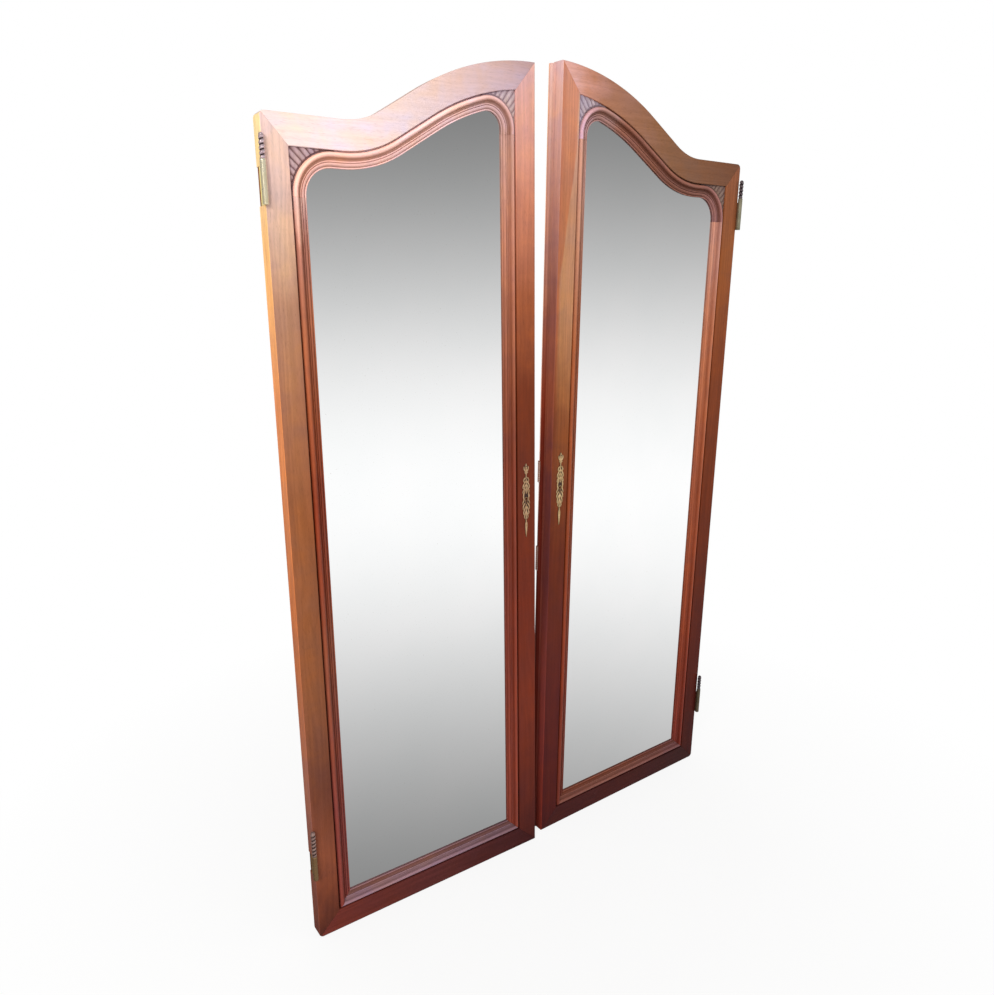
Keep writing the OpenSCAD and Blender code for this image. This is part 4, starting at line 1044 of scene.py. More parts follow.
top_line = (
    [np.array([MOULD_SIDE, HANGING_BUTT + BUTT_GAP])]
    + turned(shoulder_turn, SHOULDER_TURN_R, -math.pi / 2, 0)
    + [cove_point(a, MOULD_CROWN) for a in np.linspace(0, SLOPE, 20)]
    + [crest_point(a, MOULD_CROWN) for a in np.linspace(SLOPE, crown_turn_a, 24)]
    + turned(crown_turn, CROWN_TURN_R, -crown_turn_a, math.pi / 2)[1:]
    + [np.array([DOOR_W - MOULD_SIDE, MEETING_BUTT + BUTT_GAP])])
straight_lines = {
    "hanging": [(MOULD_SIDE, MOULD_BASE - 40), (MOULD_SIDE, HANGING_BUTT - BUTT_GAP)],
    "meeting": [(DOOR_W - MOULD_SIDE, MEETING_BUTT - BUTT_GAP),
                (DOOR_W - MOULD_SIDE, MOULD_BASE - 40)],
    "bottom": [(DOOR_W - MOULD_SIDE + 40, MOULD_BASE), (MOULD_SIDE - 40, MOULD_BASE)]}
print("Top moulding line has", len(top_line), "points")

# %% Make the mouldings
profile_mesh = bpy.data.meshes.new("moulding_profile")
profile_mesh.from_pydata([(m, d, 0) for m, d in profile], [], [])
profile_object = placed("moulding_profile", profile_mesh)


def moulding(line_points, paint):
    """A moulding in door coordinates: the tree draws it flat, x across and y up."""
    made = grown([(u, z, 0) for u, z in line_points], moulding_tree,
                 {"Profile": profile_object, "Finish": paint})
    shape = as_shape(made)
    # The curve's normal can point up or down, so the depth may come out below zero
    flip = -1 if min(v.co.z for v in shape.verts) < -GLASS_Y / 2 else 1
    for v in shape.verts:
        v.co = Vector((v.co.x, flip * v.co.z, v.co.y))
    bmesh.ops.remove_doubles(shape, verts=shape.verts[:], dist=0.0005)
    return outward(shape)


def mitred(shape, corner, towards):
    """Saws a moulding at a mitre: what lies beyond the line through corner goes."""
    along_cut = Vector((towards[0], 0, towards[1])).normalized()
    normal = Vector((-along_cut.z, 0, along_cut.x))
    found = bmesh.ops.bisect_plane(
        shape, geom=shape.verts[:] + shape.edges[:] + shape.faces[:], dist=0.0001,
        plane_co=Vector((corner[0], 0, corner[1])) - normal * JOINT_GAP, plane_no=normal,
        clear_outer=True)
    rim = [e for e in found["geom_cut"] if isinstance(e, bmesh.types.BMEdge)]
    bmesh.ops.contextual_create(shape, geom=rim)
    return outward(shape)


low_left, low_right = (MOULD_SIDE, MOULD_BASE), (DOOR_W - MOULD_SIDE, MOULD_BASE)
for side in ("left", "right"):
    runs = {"top": moulding(top_line, finish[side + "_mould_top"])}
    for part, points in straight_lines.items():
        runs[part] = moulding(points, finish[side + "_mould"])
    runs["hanging"] = mitred(runs["hanging"], low_left, (-1, -1))
    runs["bottom"] = mitred(mitred(runs["bottom"], low_left, (1, 1)), low_right, (1, -1))
    runs["meeting"] = mitred(runs["meeting"], low_right, (-1, 1))
    for part, shape in runs.items():
        paint = finish.get(f"{side}_mould_{part}", finish[side + "_mould"])
        piece(f"{side}_{part}_moulding", shape, side, [paint])
bpy.data.objects.remove(profile_object)
print("Mouldings:", made_pieces[-8:])

# %% [markdown]
# ## Carved corners
# In each upper corner the carver cut a fan of about a dozen leaves, of which the
# longest reach the corner. They start at the moulding and run almost side by side. The
# surface is a grid whose lines follow the leaves: one direction counts leaves, the
# other runs from stalk to tip. The height is stored on the mesh, so that the finish can
# paint shade into the grooves and highlights on the crests.

# %% Make the carved corners
CARVE_GAP, CARVE_GROUND, CARVE_RISE, FAN = 0.3, 4.5, 3.2, 0.35
SHOULDER_LEAVES, CROWN_LEAVES = 12, 11
GRID_OVER, GRID_OUT = 170, 26


def smooth(low, high, x):
    t = np.clip((x - low) / (high - low), 0, 1)
    return t * t * (3 - 2 * t)


def ray_length(point, angle, edges):
    """Distance from a point along a direction to the nearest edge line."""
    du, dz = math.cos(angle), math.sin(angle)
    best = 1e9
    for (u0, z0), (u1, z1) in zip(edges, edges[1:]):
        eu, ez = u1 - u0, z1 - z0
        det = du * ez - dz * eu
        if abs(det) < 1e-9:
            continue
        t = ((u0 - point[0]) * ez - (z0 - point[1]) * eu) / det
        s = ((u0 - point[0]) * dz - (z0 - point[1]) * du) / det
        if t > 0 and -1e-6 <= s <= 1 + 1e-6:
            best = min(best, t)
    return best


def carved_corner(centre, turn_r, leaves, a0, a1, tail0, tail1, edges):
    """Leaves from angle a0 to a1 round the moulding; tails run straight at both ends."""
    a0, a1, radius = math.radians(a0), math.radians(a1), turn_r + CARVE_GAP
    total = tail0 + radius * abs(a1 - a0) + tail1
    middle, sense = (a0 + a1) / 2, math.copysign(1, a1 - a0)
    start, angle, leaf = [], [], []
    for s in np.linspace(0, total, GRID_OVER):
        if s < tail0:
            a, extra = a0, -(tail0 - s)
        elif s > total - tail1:
            a, extra = a1, s - (total - tail1)
        else:
            a, extra = a0 + sense * (s - tail0) / radius, 0.0
        p = centre + radius * np.array([math.cos(a), math.sin(a)])
        p = p + sense * extra * np.array([-math.sin(a), math.cos(a)])
        start.append(p)
        angle.append(middle + FAN * (a - middle))
        leaf.append(leaves * (s - tail0) / (radius * abs(a1 - a0)))
    shape = bmesh.new()
    relief = shape.verts.layers.float.new("relief")
    front, back = [], []
    for p, b, w in zip(start, angle, leaf):
        length = ray_length(p, b, edges) - 0.12
        row, under = [], []
        for j in range(GRID_OUT):
            t = j / (GRID_OUT - 1)
            f = w % 1.0
            ridge = math.sin(math.pi * f ** 1.2) ** 0.75
            ridge -= 0.12 * math.exp(-((f - 0.42) / 0.06) ** 2)
            rise = smooth(1.2, 4.5, t * length) * (1 - 0.35 * smooth(0.55, 1.0, t))
            border = 0.55 * math.exp(-((t * length - 0.7) / 0.6) ** 2)
            size = min(1.0, length / 16)
            h = max(border, rise * (0.12 + 0.88 * ridge) * size)
            q = p + t * length * np.array([math.cos(b), math.sin(b)])
            v = shape.verts.new((q[0], STEP_Y - CARVE_GROUND - CARVE_RISE * h, q[1]))
            v[relief] = h
            row.append(v)
            v = shape.verts.new((q[0], STEP_Y - HAIR, q[1]))
            under.append(v)
        front.append(row)
        back.append(under)
    grid_faces(shape, front, closed=False)
    grid_faces(shape, [b[::-1] for b in back], closed=False)
    for a, b in ((front[0], back[0]), (front[-1], back[-1]),
                 ([r[0] for r in front], [r[0] for r in back]),
                 ([r[-1] for r in front], [r[-1] for r in back])):
        grid_faces(shape, [a, b], closed=False)
    return outward(shape)


shoulder_edges = [(FACE_SIDE, 1400), (FACE_SIDE, SHOULDER_H - FACE_CROWN),
                  (SHOULDER_FLAT, SHOULDER_H - FACE_CROWN)]
crown_edges = [(DOOR_W - FACE_SIDE, 1400), crown_in] + [
    crest_point(a, FACE_CROWN) for a in
    np.linspace(crest_angle(DOOR_W - FACE_SIDE, FACE_CROWN), SLOPE, 40)]
for side in ("left", "right"):
    piece(side + "_hanging_spandrel",
          carved_corner(shoulder_turn, SHOULDER_TURN_R, SHOULDER_LEAVES, 180, 90, 24, 6,
                        shoulder_edges),
          side, [finish[side + "_hanging_carved"]])
    piece(side + "_meeting_spandrel",
          carved_corner(crown_turn, CROWN_TURN_R, CROWN_LEAVES, 0,
                        90 + math.degrees(crown_turn_a), 24, 0, crown_edges),
          side, [finish[side + "_meeting_carved"]])
print("Carvings:", made_pieces[-4:])

# %% [markdown]
# ## Mirror glass
# Each mirror is a silvered sheet. The CAD sheet already has the right shape, so it
# stays and gets a finish: clear silver, with the faint clouds that old silvering has.


# %% The mirror finish
mirror, place, shader = finish_of("old_mirror", {"Metallic": 1.0, "IOR": 1.5})
clouds = noise(place, 5.0, 3.0)
specks = remap(noise(place, 420.0), 0.70, 0.78)
silver = ramp(remap(clouds, 0.3, 0.7), [(0.0, (0.955, 0.965, 0.965)),
                                        (1.0, (0.985, 0.985, 0.985))])
coated(shader, mixed(specks, silver, (0.80, 0.79, 0.76, 1)),
       remap(clouds, 0.3, 0.7, 0.012, 0.022))

for side in ("left", "right"):
    sheet = frame["nodes"][side + "_mirror_glass"]
    sheet.data.materials.clear()
    sheet.data.materials.append(mirror)
print("Mirror:", [round(v, 3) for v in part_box("left_mirror_glass")[1]])

# %% [markdown]
# ## Metal finishes
# The hinge halves are rolled brass that has gone olive, the finials are turned metal
# with shade painted into their groove, the keyhole plates are cast gilt brass, and the
# hidden fittings are iron and steel. One function mixes a base tone with patina clouds
# and fine scratches, and it can paint shade over the lower end and into the hollows.


# %% Finishes for metal
# No painted shade at the foot
NO_FOOT_SHADE = (1.0, 1.0, 1.0)


def metal(name, bright, dull, rough, scale, metallic=1.0, hollow_shade=None, foot=NO_FOOT_SHADE):
    """Two sRGB tones in clouds; rough is its range; foot and the hollow colour paint
    shade, low down and in hollows.
    """
    made, place, shader = finish_of(name, {"Metallic": metallic, "IOR": 1.5})
    grit = noise(place, 1400.0, 3.0)
    paler_mask = remap(noise(place, scale, 5.0, 0.6), 0.36, 0.64)
    colour = ramp(paler_mask, [(0.0, tint_of(*dull)), (1.0, tint_of(*bright))])
    # Painted shade: from 1.6 m above the floor down to 0.25 m the tone dims towards foot
    clear_of_foot_shade = remap(place[2], FLOOR + 0.25, FLOOR + 1.6)
    colour = dyed(colour, mixed(clear_of_foot_shade, (*foot, 1), (1, 1, 1, 1)))
    # Painted shade in the hollows, where the relief is low
    if hollow_shade:
        deep = remap(relief_of(place.tree), 0.3, 0.75)
        colour = mixed(deep, tint_of(*hollow_shade), colour)
    coated(shader, colour, remap(paler_mask + grit, 0.3, 1.5, rough[1], rough[0]), grit, 0.15,
           0.0001)
    return made


# The right door's hinge, leaf and finial finishes are darker copies of the left ones,
# painted shade; each foot paints the lower fittings darker, as shade
hinge_brass = {
    "left": metal("hinge_brass_left", (255, 248, 224), (238, 226, 190), (0.24, 0.32),
                  30.0, 0.65, foot=(0.29, 0.19, 0.12)),
    "right": metal("hinge_brass_right", (158, 152, 128), (132, 128, 104), (0.32, 0.42),
                   30.0, 0.6, foot=(0.40, 0.32, 0.28))}
leaf_brass = {
    "left": metal("leaf_brass_left", (255, 240, 170), (255, 226, 142), (0.34, 0.5), 30.0,
                  0.15, foot=(0.2, 0.12, 0.08)),
    "right": metal("leaf_brass_right", (120, 84, 56), (96, 62, 40), (0.4, 0.55), 30.0,
                   0.3, foot=(0.5, 0.4, 0.4))}
finial_metal = {
    "left": metal("finial_metal_left", (236, 214, 220), (192, 166, 174), (0.22, 0.4),
                  200.0, 0.6, hollow_shade=(48, 26, 28), foot=(0.5, 0.42, 0.34)),
    "right": metal("finial_metal_right", (134, 120, 124), (94, 82, 88), (0.24, 0.4),
                   200.0, 0.7, hollow_shade=(26, 22, 24), foot=(0.8, 0.74, 0.76))}
# The plates' hollow colour paints the sheet and the scrolls' lower sides dark, as shade
gilt = {
    "left": metal("plate_gilt_left", (198, 162, 124), (162, 124, 86), (0.32, 0.5),
                  160.0, 0.4, hollow_shade=(56, 32, 22)),
    "right": metal("plate_gilt_right", (210, 178, 132), (176, 144, 96), (0.32, 0.5),
                   160.0, 0.4, hollow_shade=(64, 40, 26))}
# The keeps' foot paints them darker low down, as shade
keep_brass = metal("keep_brass", (255, 252, 240), (240, 222, 204), (0.3, 0.5), 220.0, 0.3,
                   foot=(0.35, 0.14, 0.14))
keep_bronze = metal("keep_bronze", (212, 176, 158), (164, 130, 112), (0.36, 0.55), 220.0,
                    0.3, foot=(0.35, 0.14, 0.12))
iron = metal("lock_iron", (96, 94, 92), (58, 50, 46), (0.4, 0.65), 70.0)
steel = metal("bolt_steel", (150, 148, 144), (98, 92, 86), (0.3, 0.55), 80.0)
pin_steel = metal("pin_steel", (140, 134, 126), (84, 76, 68), (0.32, 0.55), 300.0)
print("Metal finishes made")

# %% [markdown]
# ## Hinges and finials
# A lift-off hinge has its male half on the wardrobe. The door carries the female half:
# a leaf let into its edge and a barrel that drops over the pin. On top stands a turned
# finial whose groove winds round it like a screw. A tree draws the finial from its
# number of turns, because the left door's lower one is longer.

# %% The tree that turns a finial
ft, given, result = geometry_tree("turned_finial", [
    ("Turns", "NodeSocketFloat", 5.0), ("Pitch", "NodeSocketFloat", RING_PITCH),
    ("Outer radius", "NodeSocketFloat", 5.3), ("Groove radius", "NodeSocketFloat", 3.2),
    ("Finish", "NodeSocketMaterial", None)])
turns, pitch, outer, groove = (Wire(ft, given.outputs[label]) for label in (
    "Turns", "Pitch", "Outer radius", "Groove radius"))
blank_turning = wire(ft, "GeometryNodeMeshCylinder", {
    "Vertices": 36, "Side Segments": 96, "Radius": 1.0, "Depth": 1.0}, "Mesh",
    fill_type="NGON")
spot = wire(ft, "GeometryNodeInputPosition")
x, y, up = spot[0], spot[1], spot[2] + 0.5
wound = up * turns - calc("DIVIDE", calc("ARCTAN2", y, x), 2 * math.pi)
bead = calc("POWER", calc("SINE", calc("FRACT", wound) * math.pi), 0.75)
# The ends are plain: a collar at the foot and a button at the tip
to_tip = (1.0 - up) * turns
collar = remap(up * turns, 0.12, 0.4, 1.0, 0.0)
button = remap(to_tip, 0.55, 0.75, 1.0, 0.0)
plain = calc("MAXIMUM", collar, button)
dome = 1.0 - calc("POWER", remap(to_tip, 0.0, 0.55, 1.0, 0.0), 2.2)
body_r = calc("MULTIPLY_ADD", outer - groove, bead, groove)
body_r = calc("MULTIPLY_ADD", outer * 0.86 - body_r, plain, body_r)
body_r = body_r * calc("SQRT", calc("MAXIMUM", 0.004, dome))
# The relief lets the finish paint shade into the groove between the beads
marked = wire(ft, "GeometryNodeStoreNamedAttribute", {
    "Geometry": blank_turning, "Name": "relief", "Value": calc("MAXIMUM", bead, plain)},
    data_type="FLOAT", domain="POINT")
shaped = wire(ft, "GeometryNodeSetPosition", {
    "Geometry": marked, "Position": wire(ft, "ShaderNodeCombineXYZ", {
        0: x * body_r, 1: y * body_r, 2: up * (turns * pitch)})})
end_tree(ft, shaped, given.outputs["Finish"], result)
print("Finial tree has", len(ft.nodes), "nodes")


# %% Make the hinges and finials
def hinge_shape(mouth, rings):
    """Barrel with its bore open downwards, and the leaf that is let into the edge."""
    length = barrel_length(rings)
    ring = BARREL_R - 0.35
    outline = [(0, length - 12), (BORE_R, length - 12), (BORE_R, 0.9),
               (BORE_R + 0.4, 0.1), (BARREL_R - 0.9, 0.1), (BARREL_R - 0.25, 0.5),
               (BARREL_R, 1.3), (BARREL_R, 3.6), (ring, 3.9), (ring, 4.3),
               (BARREL_R, 4.6), (BARREL_R, length - 4.6), (ring, length - 4.3),
               (ring, length - 3.9), (BARREL_R, length - 3.6), (BARREL_R, length - 1.2),
               (BARREL_R - 0.9, length - 0.05), (0, length - 0.05)]
    barrel = lathe(outline, (HINGE_U, HINGE_Y, mouth), 48)
    leaf = block((0.02, HINGE_Y + BARREL_R - 1.5, mouth + 0.1),
                 (1.98, LEAF_Y, mouth + leaf_length(rings) - 0.1), 0.35)
    return sides_marked(joined(barrel, leaf),
                        lambda c, n: c.y > HINGE_Y + BARREL_R and c.x > -0.1)


for (side, end), rings in RINGS.items():
    mouth = MOUTHS[end]
    piece(f"{side}_{end}_hinge", hinge_shape(mouth, rings), side,
          [hinge_brass[side], leaf_brass[side]])
    turning = as_shape(grown([(0, 0, 0)], ft, {
        "Turns": float(rings), "Finish": finial_metal[side]}))
    turning = outward(shifted(turning, (HINGE_U, HINGE_Y, mouth + barrel_length(rings))))
    piece(f"{side}_{end}_finial", turning, side, [finial_metal[side]])
print("Hinges:", made_pieces[-8:])

# %% [markdown]
# ## Screws, pins and beads
# Small heads repeat, so one tree sets a head on every point and turns it to face where
# the point's `aim` says. A seed turns each slot differently, as real screws stop.

# %% The tree that sets heads on points
ht, given, result = geometry_tree("heads_on_points", [
    ("Head", "NodeSocketObject", None), ("Size", "NodeSocketFloat", 1.0),
    ("Seed", "NodeSocketInt", 4), ("Finish", "NodeSocketMaterial", None)])
cloud = wire(ht, "GeometryNodeMeshToPoints", {"Mesh": given.outputs["Geometry"]})
aim = wire(ht, "GeometryNodeInputNamedAttribute", {"Name": "aim"}, "Attribute",
           data_type="FLOAT_VECTOR")
faced = wire(ht, "FunctionNodeAlignRotationToVector", {"Vector": aim}, axis="Z")
spin = add(ht, "FunctionNodeRandomValue", {"Seed": given.outputs["Seed"]},
           data_type="FLOAT")
for socket, value in zip([s for s in spin.inputs if s.enabled][:2], (0.0, math.pi)):
    socket.default_value = value
turned_by = wire(ht, "FunctionNodeAxisAngleToRotation", {
    "Axis": (0, 0, 1), "Angle": next(s for s in spin.outputs if s.enabled)})
rotated = wire(ht, "FunctionNodeRotateRotation", {
    "Rotation": faced, "Rotate By": turned_by}, rotation_space="LOCAL")
many = wire(ht, "GeometryNodeInstanceOnPoints", {
    "Points": cloud, "Rotation": rotated,
    "Instance": wire(ht, "GeometryNodeObjectInfo", {"Object": given.outputs["Head"]},
                     "Geometry"),
    "Scale": wire(ht, "ShaderNodeCombineXYZ", dict.fromkeys(
        range(3), given.outputs["Size"]))})
end_tree(ht, many, given.outputs["Finish"], result)
print("Heads tree has", len(ht.nodes), "nodes")


# %% Patterns for the heads
def pattern(name, shape):
    """A shape kept as an object while the tree copies it."""
    return placed(name, as_mesh(shape, name))


screw_head = pattern("screw_head", cut(
    lathe([(0, -1.5), (1.5, -1.5), (2.75, -0.1), (2.72, 0.06), (2.0, 0.16), (1.0, 0.2),
           (0, 0.21)], steps=20),
    block((-3.4, -0.35, -0.45), (3.4, 0.35, 1), 0.02, 1)))
pin_head = pattern("pin_head", lathe([
    (0, -1.2), (0.5, -1.2), (0.5, -0.1), (0.95, 0.0), (0.9, 0.18), (0.5, 0.34),
    (0, 0.38)], steps=12))
bead_pattern = pattern("bead", lathe([
    (0, -1.0), (0.6, -0.8), (0.92, -0.4), (1.0, 0.0), (0.92, 0.4), (0.6, 0.8), (0, 1.0)],
    steps=12))


def heads(points, aims, head_object, material, head_size=1.0, seed=4):
    """Heads in door coordinates, one on each point."""
    return as_shape(grown(points, ht, {
        "Head": head_object, "Size": head_size, "Seed": seed, "Finish": material}, aims))


# %% Hinge screws and batten pins
BATTEN_W, BATTEN_T = 14.0, 8.0
BATTEN_IN = FRAME_W + BATTEN_W
PIN_Y = BATTEN_Y + BATTEN_T / 2
first_pin = BATTEN_IN + 90

for side in ("left", "right"):
    spots = [(-0.02, 9.5, mouth + leaf_length(RINGS[side, end]) * (i + 0.5) / 3)
             for end, mouth in MOUTHS.items() for i in range(3)]
    piece(side + "_hinge_screws", heads(spots, [(-1, 0, 0)] * 6, screw_head, pin_steel),
          side, [pin_steel])
    pins = [((BATTEN_IN, PIN_Y, z), (1, 0, 0)) for z in np.linspace(
        first_pin, SHOULDER_H - FACE_CROWN - first_pin, 5)]
    pins += [((DOOR_W - BATTEN_IN, PIN_Y, z), (-1, 0, 0)) for z in np.linspace(
        first_pin, CROWN_H - FACE_CROWN - first_pin, 5)]
    pins += [((u, PIN_Y, top_z(u, FACE_CROWN + STEP_W + BATTEN_W)), (0, 0, -1))
             for u in np.linspace(BATTEN_IN + 30, DOOR_W - BATTEN_IN - 45, 3)]
    pins += [((u, PIN_Y, FACE_BASE + STEP_W + BATTEN_W), (0, 0, 1))
             for u in np.linspace(BATTEN_IN + 45, DOOR_W - BATTEN_IN - 45, 3)]
    piece(side + "_batten_pins", heads(*zip(*pins), pin_head, pin_steel), side,
          [pin_steel])
print("Screws and pins:", made_pieces[-4:])

# %% [markdown]
# ## Keyhole plates
# The plates are cast scrollwork: a three-petalled flower at the top, a neck, leaves and
# scrolls round the keyhole, and a long plain tail. Each scroll is a tube that follows a
# smooth line through a few points and swells and tapers, as a modelled cord of wax
# would. Most scrolls are drawn once and mirrored.

# %% Scrolls as (across, up, thickness) points, in millimetres from the keyhole
SCROLLS = [
    [(0.8, 64, 2.0), (3.6, 68, 2.5), (6.0, 73, 2.4), (5.6, 78, 1.5)],
    [(1.0, 60, 1.5), (3.2, 63, 1.7), (5.4, 63, 1.3)],
    [(0.8, 50, 1.6), (4.4, 50, 2.2), (7.0, 45, 2.2), (5.6, 40.5, 1.6), (3.2, 42, 1.0)],
    [(1.2, 44, 1.8), (4.4, 39, 2.3), (8.0, 33, 2.3), (9.2, 27, 1.8), (6.6, 25, 1.2)],
    [(1.4, 35, 1.8), (4.2, 30, 2.3), (5.6, 24, 2.2), (8.4, 20, 2.0), (10.0, 14, 1.3)],
    [(2.0, 25, 1.6), (5.8, 16, 2.4), (8.0, 7, 2.5), (6.8, -2, 2.2), (9.2, -8, 2.0),
     (10.2, -13, 1.2)],
    [(2.2, -9, 1.6), (5.4, -12, 2.3), (8.6, -18, 2.4), (8.8, -24, 1.9), (6.2, -26, 1.2)],
    [(1.4, -17, 1.8), (4.2, -23, 2.3), (7.2, -31, 2.4), (6.8, -37, 1.7), (4.2, -37, 1.0)],
    [(1.0, -29, 1.7), (3.2, -36, 2.1), (5.0, -43, 2.0), (3.0, -48, 1.3)]]
MIDDLE = [
    [(0, 62, 1.8), (0, 70, 2.9), (0, 78, 2.8), (0, 85, 1.2)],
    [(0, 66, 2.9), (0, 61, 2.6), (0, 56, 1.7), (0, 51, 2.2)],
    [(0, 53, 2.4), (0, 40, 1.9), (0, 25, 2.0), (0, 12, 1.9)],
    [(0, -12, 1.8), (0, -25, 2.1), (0, -40, 2.0), (0, -49, 2.2)],
    [(0, -47, 2.8), (0, -51, 2.5), (0, -55, 1.8), (0, -59, 2.4)],
    [(0, -55, 2.6), (0, -62, 4.4), (0, -70, 4.0), (0, -82, 2.5), (0, -93, 1.0)]]
# The sheet behind the scrolls, as (up, half width), is painted dark and stands for the
# shade between them
SHEET = [(84, 1.5), (78, 4.6), (70, 5.2), (62, 3.4), (56, 1.8), (50, 4.6), (42, 6.4),
         (34, 7.6), (26, 8.6), (14, 9.0), (4, 8.8), (-6, 9.0), (-16, 9.0), (-24, 8.4),
         (-34, 7.0), (-42, 4.8), (-49, 2.6), (-56, 2.8), (-62, 4.2), (-70, 4.0),
         (-82, 2.5), (-92, 0.9)]
PLATE_DEPTH, SCROLL_SIDES, SCROLL_STEPS = 0.6, 10, 7


def through(points):
    """A smooth line through points, by Catmull and Rom's rule."""
    p = np.array([points[0]] + list(points) + [points[-1]], float)
    line_made = []
    for i in range(1, len(p) - 2):
        for t in np.linspace(0, 1, SCROLL_STEPS, endpoint=False):
            a, b, c, d = p[i - 1:i + 3]
            line_made.append(0.5 * (
                2 * b + (c - a) * t + (2 * a - 5 * b + 4 * c - d) * t ** 2
                + (3 * b - a - 3 * c + d) * t ** 3))
    return np.array(line_made + [p[-2]])


def scroll(shape, relief, points, flip=1):
    """Adds one swelling tube, flattened against the door."""
    line_made = through(points)
    path, thick = line_made[:, :2] * (flip, 1), line_made[:, 2] * 0.82
    way = np.gradient(path, axis=0)
    way /= np.linalg.norm(way, axis=1)[:, None]
    normal = np.stack([-way[:, 1], way[:, 0]], 1)
    caps = np.ones(len(path))
    caps[0] = caps[-1] = 0.35
    path[0] -= way[0] * thick[0] * 0.3
    path[-1] += way[-1] * thick[-1] * 0.3
    rings = []
    for p, n, r in zip(path, normal, thick * caps):
        ring = []
        for a in np.linspace(0, 2 * math.pi, SCROLL_SIDES, endpoint=False):
            q = p + n * r * math.cos(a)
            lift = max(-0.5, min(0.98, r * PLATE_DEPTH * math.sin(a)))
            v = shape.verts.new((KEYHOLE_U + q[0], -0.6 - lift, KEYHOLE_Z + q[1]))
            # The relief paints the sides and back of each scroll, down by the sheet, dark
            # as shade; the sheet has none and is all dark
            v[relief] = min(1.0, max(0.0, 0.05 + lift * 1.1))
            ring.append(v)
        rings.append(ring)
    tube(shape, rings)


def escutcheon(rise):
    outline = [(KEYHOLE_U + w, KEYHOLE_Z + z, "edge") for z, w in SHEET[::-1]]
    outline += [(KEYHOLE_U - w, KEYHOLE_Z + z, "edge") for z, w in SHEET]
    shape = cut(stack(outline, [(-0.55, {"edge": 0.2}), (-0.35, {}), (-0.02, {})]),
                keyhole(1, 0.0))
    relief = shape.verts.layers.float.new("relief")
    for points in SCROLLS:
        for flip in (1, -1):
            scroll(shape, relief, points, flip)
    for points in MIDDLE:
        scroll(shape, relief, points)
    rim = [(3.9 * math.sin(a), 3.9 * math.cos(a), 1.15)
           for a in np.linspace(math.radians(-142), math.radians(142), 14)]
    scroll(shape, relief, [(-2.9, -10.5, 1.0)] + rim + [(2.9, -10.5, 1.0)])
    return outward(shifted(shape, (0, 0, rise)))


PLATE_PINS = (78, 50, -50)
for side in ("left", "right"):
    rise = PLATE_RISE[side]
    piece(side + "_keyhole_plate", escutcheon(rise), side, [gilt[side]])
    spots = [(KEYHOLE_U, -2.2, KEYHOLE_Z + rise + z) for z in PLATE_PINS]
    piece(side + "_keyhole_plate_pins",
          heads(spots, [(0, -1, 0)] * 3, pin_head, gilt[side], 1.1), side, [gilt[side]])
print("Plates:", made_pieces[-4:])

# %% [markdown]
# ## Back boards and battens
# From behind, each mirror is covered by a thin board held with four battens. Both are
# plain sawn wood, paler than the walnut and without varnish.

# %% Finishes for the plain wood
board_wood = walnut("back_panel_wood", TONES["board"], coat=0.0, pith=(0.3, 0.3),
                    figure=0.9, shift=1.3)
batten_wood = walnut("batten_wood", TONES["batten"], coat=0.0, pith=(0.2, 0.25),
                     shift=1.7)
batten_cross_wood = walnut("batten_cross_wood", TONES["batten_cross"], grain="X",
                           tone_axis="Z", coat=0.0, pith=(0.2, 0.25), shift=1.9)


def plain_levels(y0, y1, radius):
    marks = (0, 0.15 * radius, 0.5 * radius, radius)
    front = [(y0 + m, {"edge": 0.05 + ease(m, radius)}) for m in marks]
    return front + [(y1 - m, {"edge": 0.05 + ease(m, radius)}) for m in marks[::-1]]


def opening(extra):
    """The panel's outline, extra beyond the sight edge of the frame's step."""
    left, right = FRAME_W + extra, DOOR_W - FRAME_W - extra
    foot, inside = FACE_BASE + STEP_W + extra, FACE_CROWN + STEP_W + extra
    top = [(u, z) for u, z in top_curve(inside, right)[:-1] if u > left]
    return [(left, foot), (right, foot), (right, top_z(right, inside))] + top[::-1] + [
        (left, top_z(left, inside))]


# %% Make the boards and battens
batten_low, sight = FRAME_W + 0.05, FACE_BASE + STEP_W
top_left, top_right = BATTEN_IN, DOOR_W - BATTEN_IN
shoulder_z = SHOULDER_H - FACE_CROWN - STEP_W


def upright(u0, u1, z0, z1):
    """A batten that stands between two widths; its ends may be at different heights."""
    return [(u0, sight), (u1, sight), (u1, z1), (u0, z0)]


for side in ("left", "right"):
    board = stack(tagged(opening(1.0), "edge"),
                  plain_levels(BATTEN_Y - BOARD_T, BATTEN_Y, 0.3))
    piece(side + "_back_board", board, side, [board_wood])
    above, below = ([(u, z) for u, z in top_curve(d, top_right) if u > top_left]
                    for d in (FACE_CROWN + STEP_W, FACE_CROWN + STEP_W + BATTEN_W))
    bars = {
        "hanging": upright(batten_low, BATTEN_IN, shoulder_z, shoulder_z),
        "meeting": upright(top_right, DOOR_W - batten_low,
                           top_z(top_right, FACE_CROWN + STEP_W),
                           top_z(DOOR_W - batten_low, FACE_CROWN + STEP_W)),
        "bottom": [(top_left, sight), (top_right, sight),
                   (top_right, BATTEN_IN), (top_left, BATTEN_IN)],
        "top": [(top_left, shoulder_z - BATTEN_W)] + below + above[::-1]
               + [(top_left, shoulder_z)]}
    for part, points in bars.items():
        wood = batten_cross_wood if part in ("top", "bottom") else batten_wood
        piece(f"{side}_{part}_batten", stack(tagged(points, "edge"),
              plain_levels(BATTEN_Y, BATTEN_Y + BATTEN_T, 1.6)), side, [wood])
print("Boards and battens:", made_pieces[-10:])

# %% [markdown]
# ## The lock on the left door
# A small iron box is screwed to the back of the meeting stile. Its bolt slides out
# through the forend plate. The box is folded from sheet, so its edges are round.

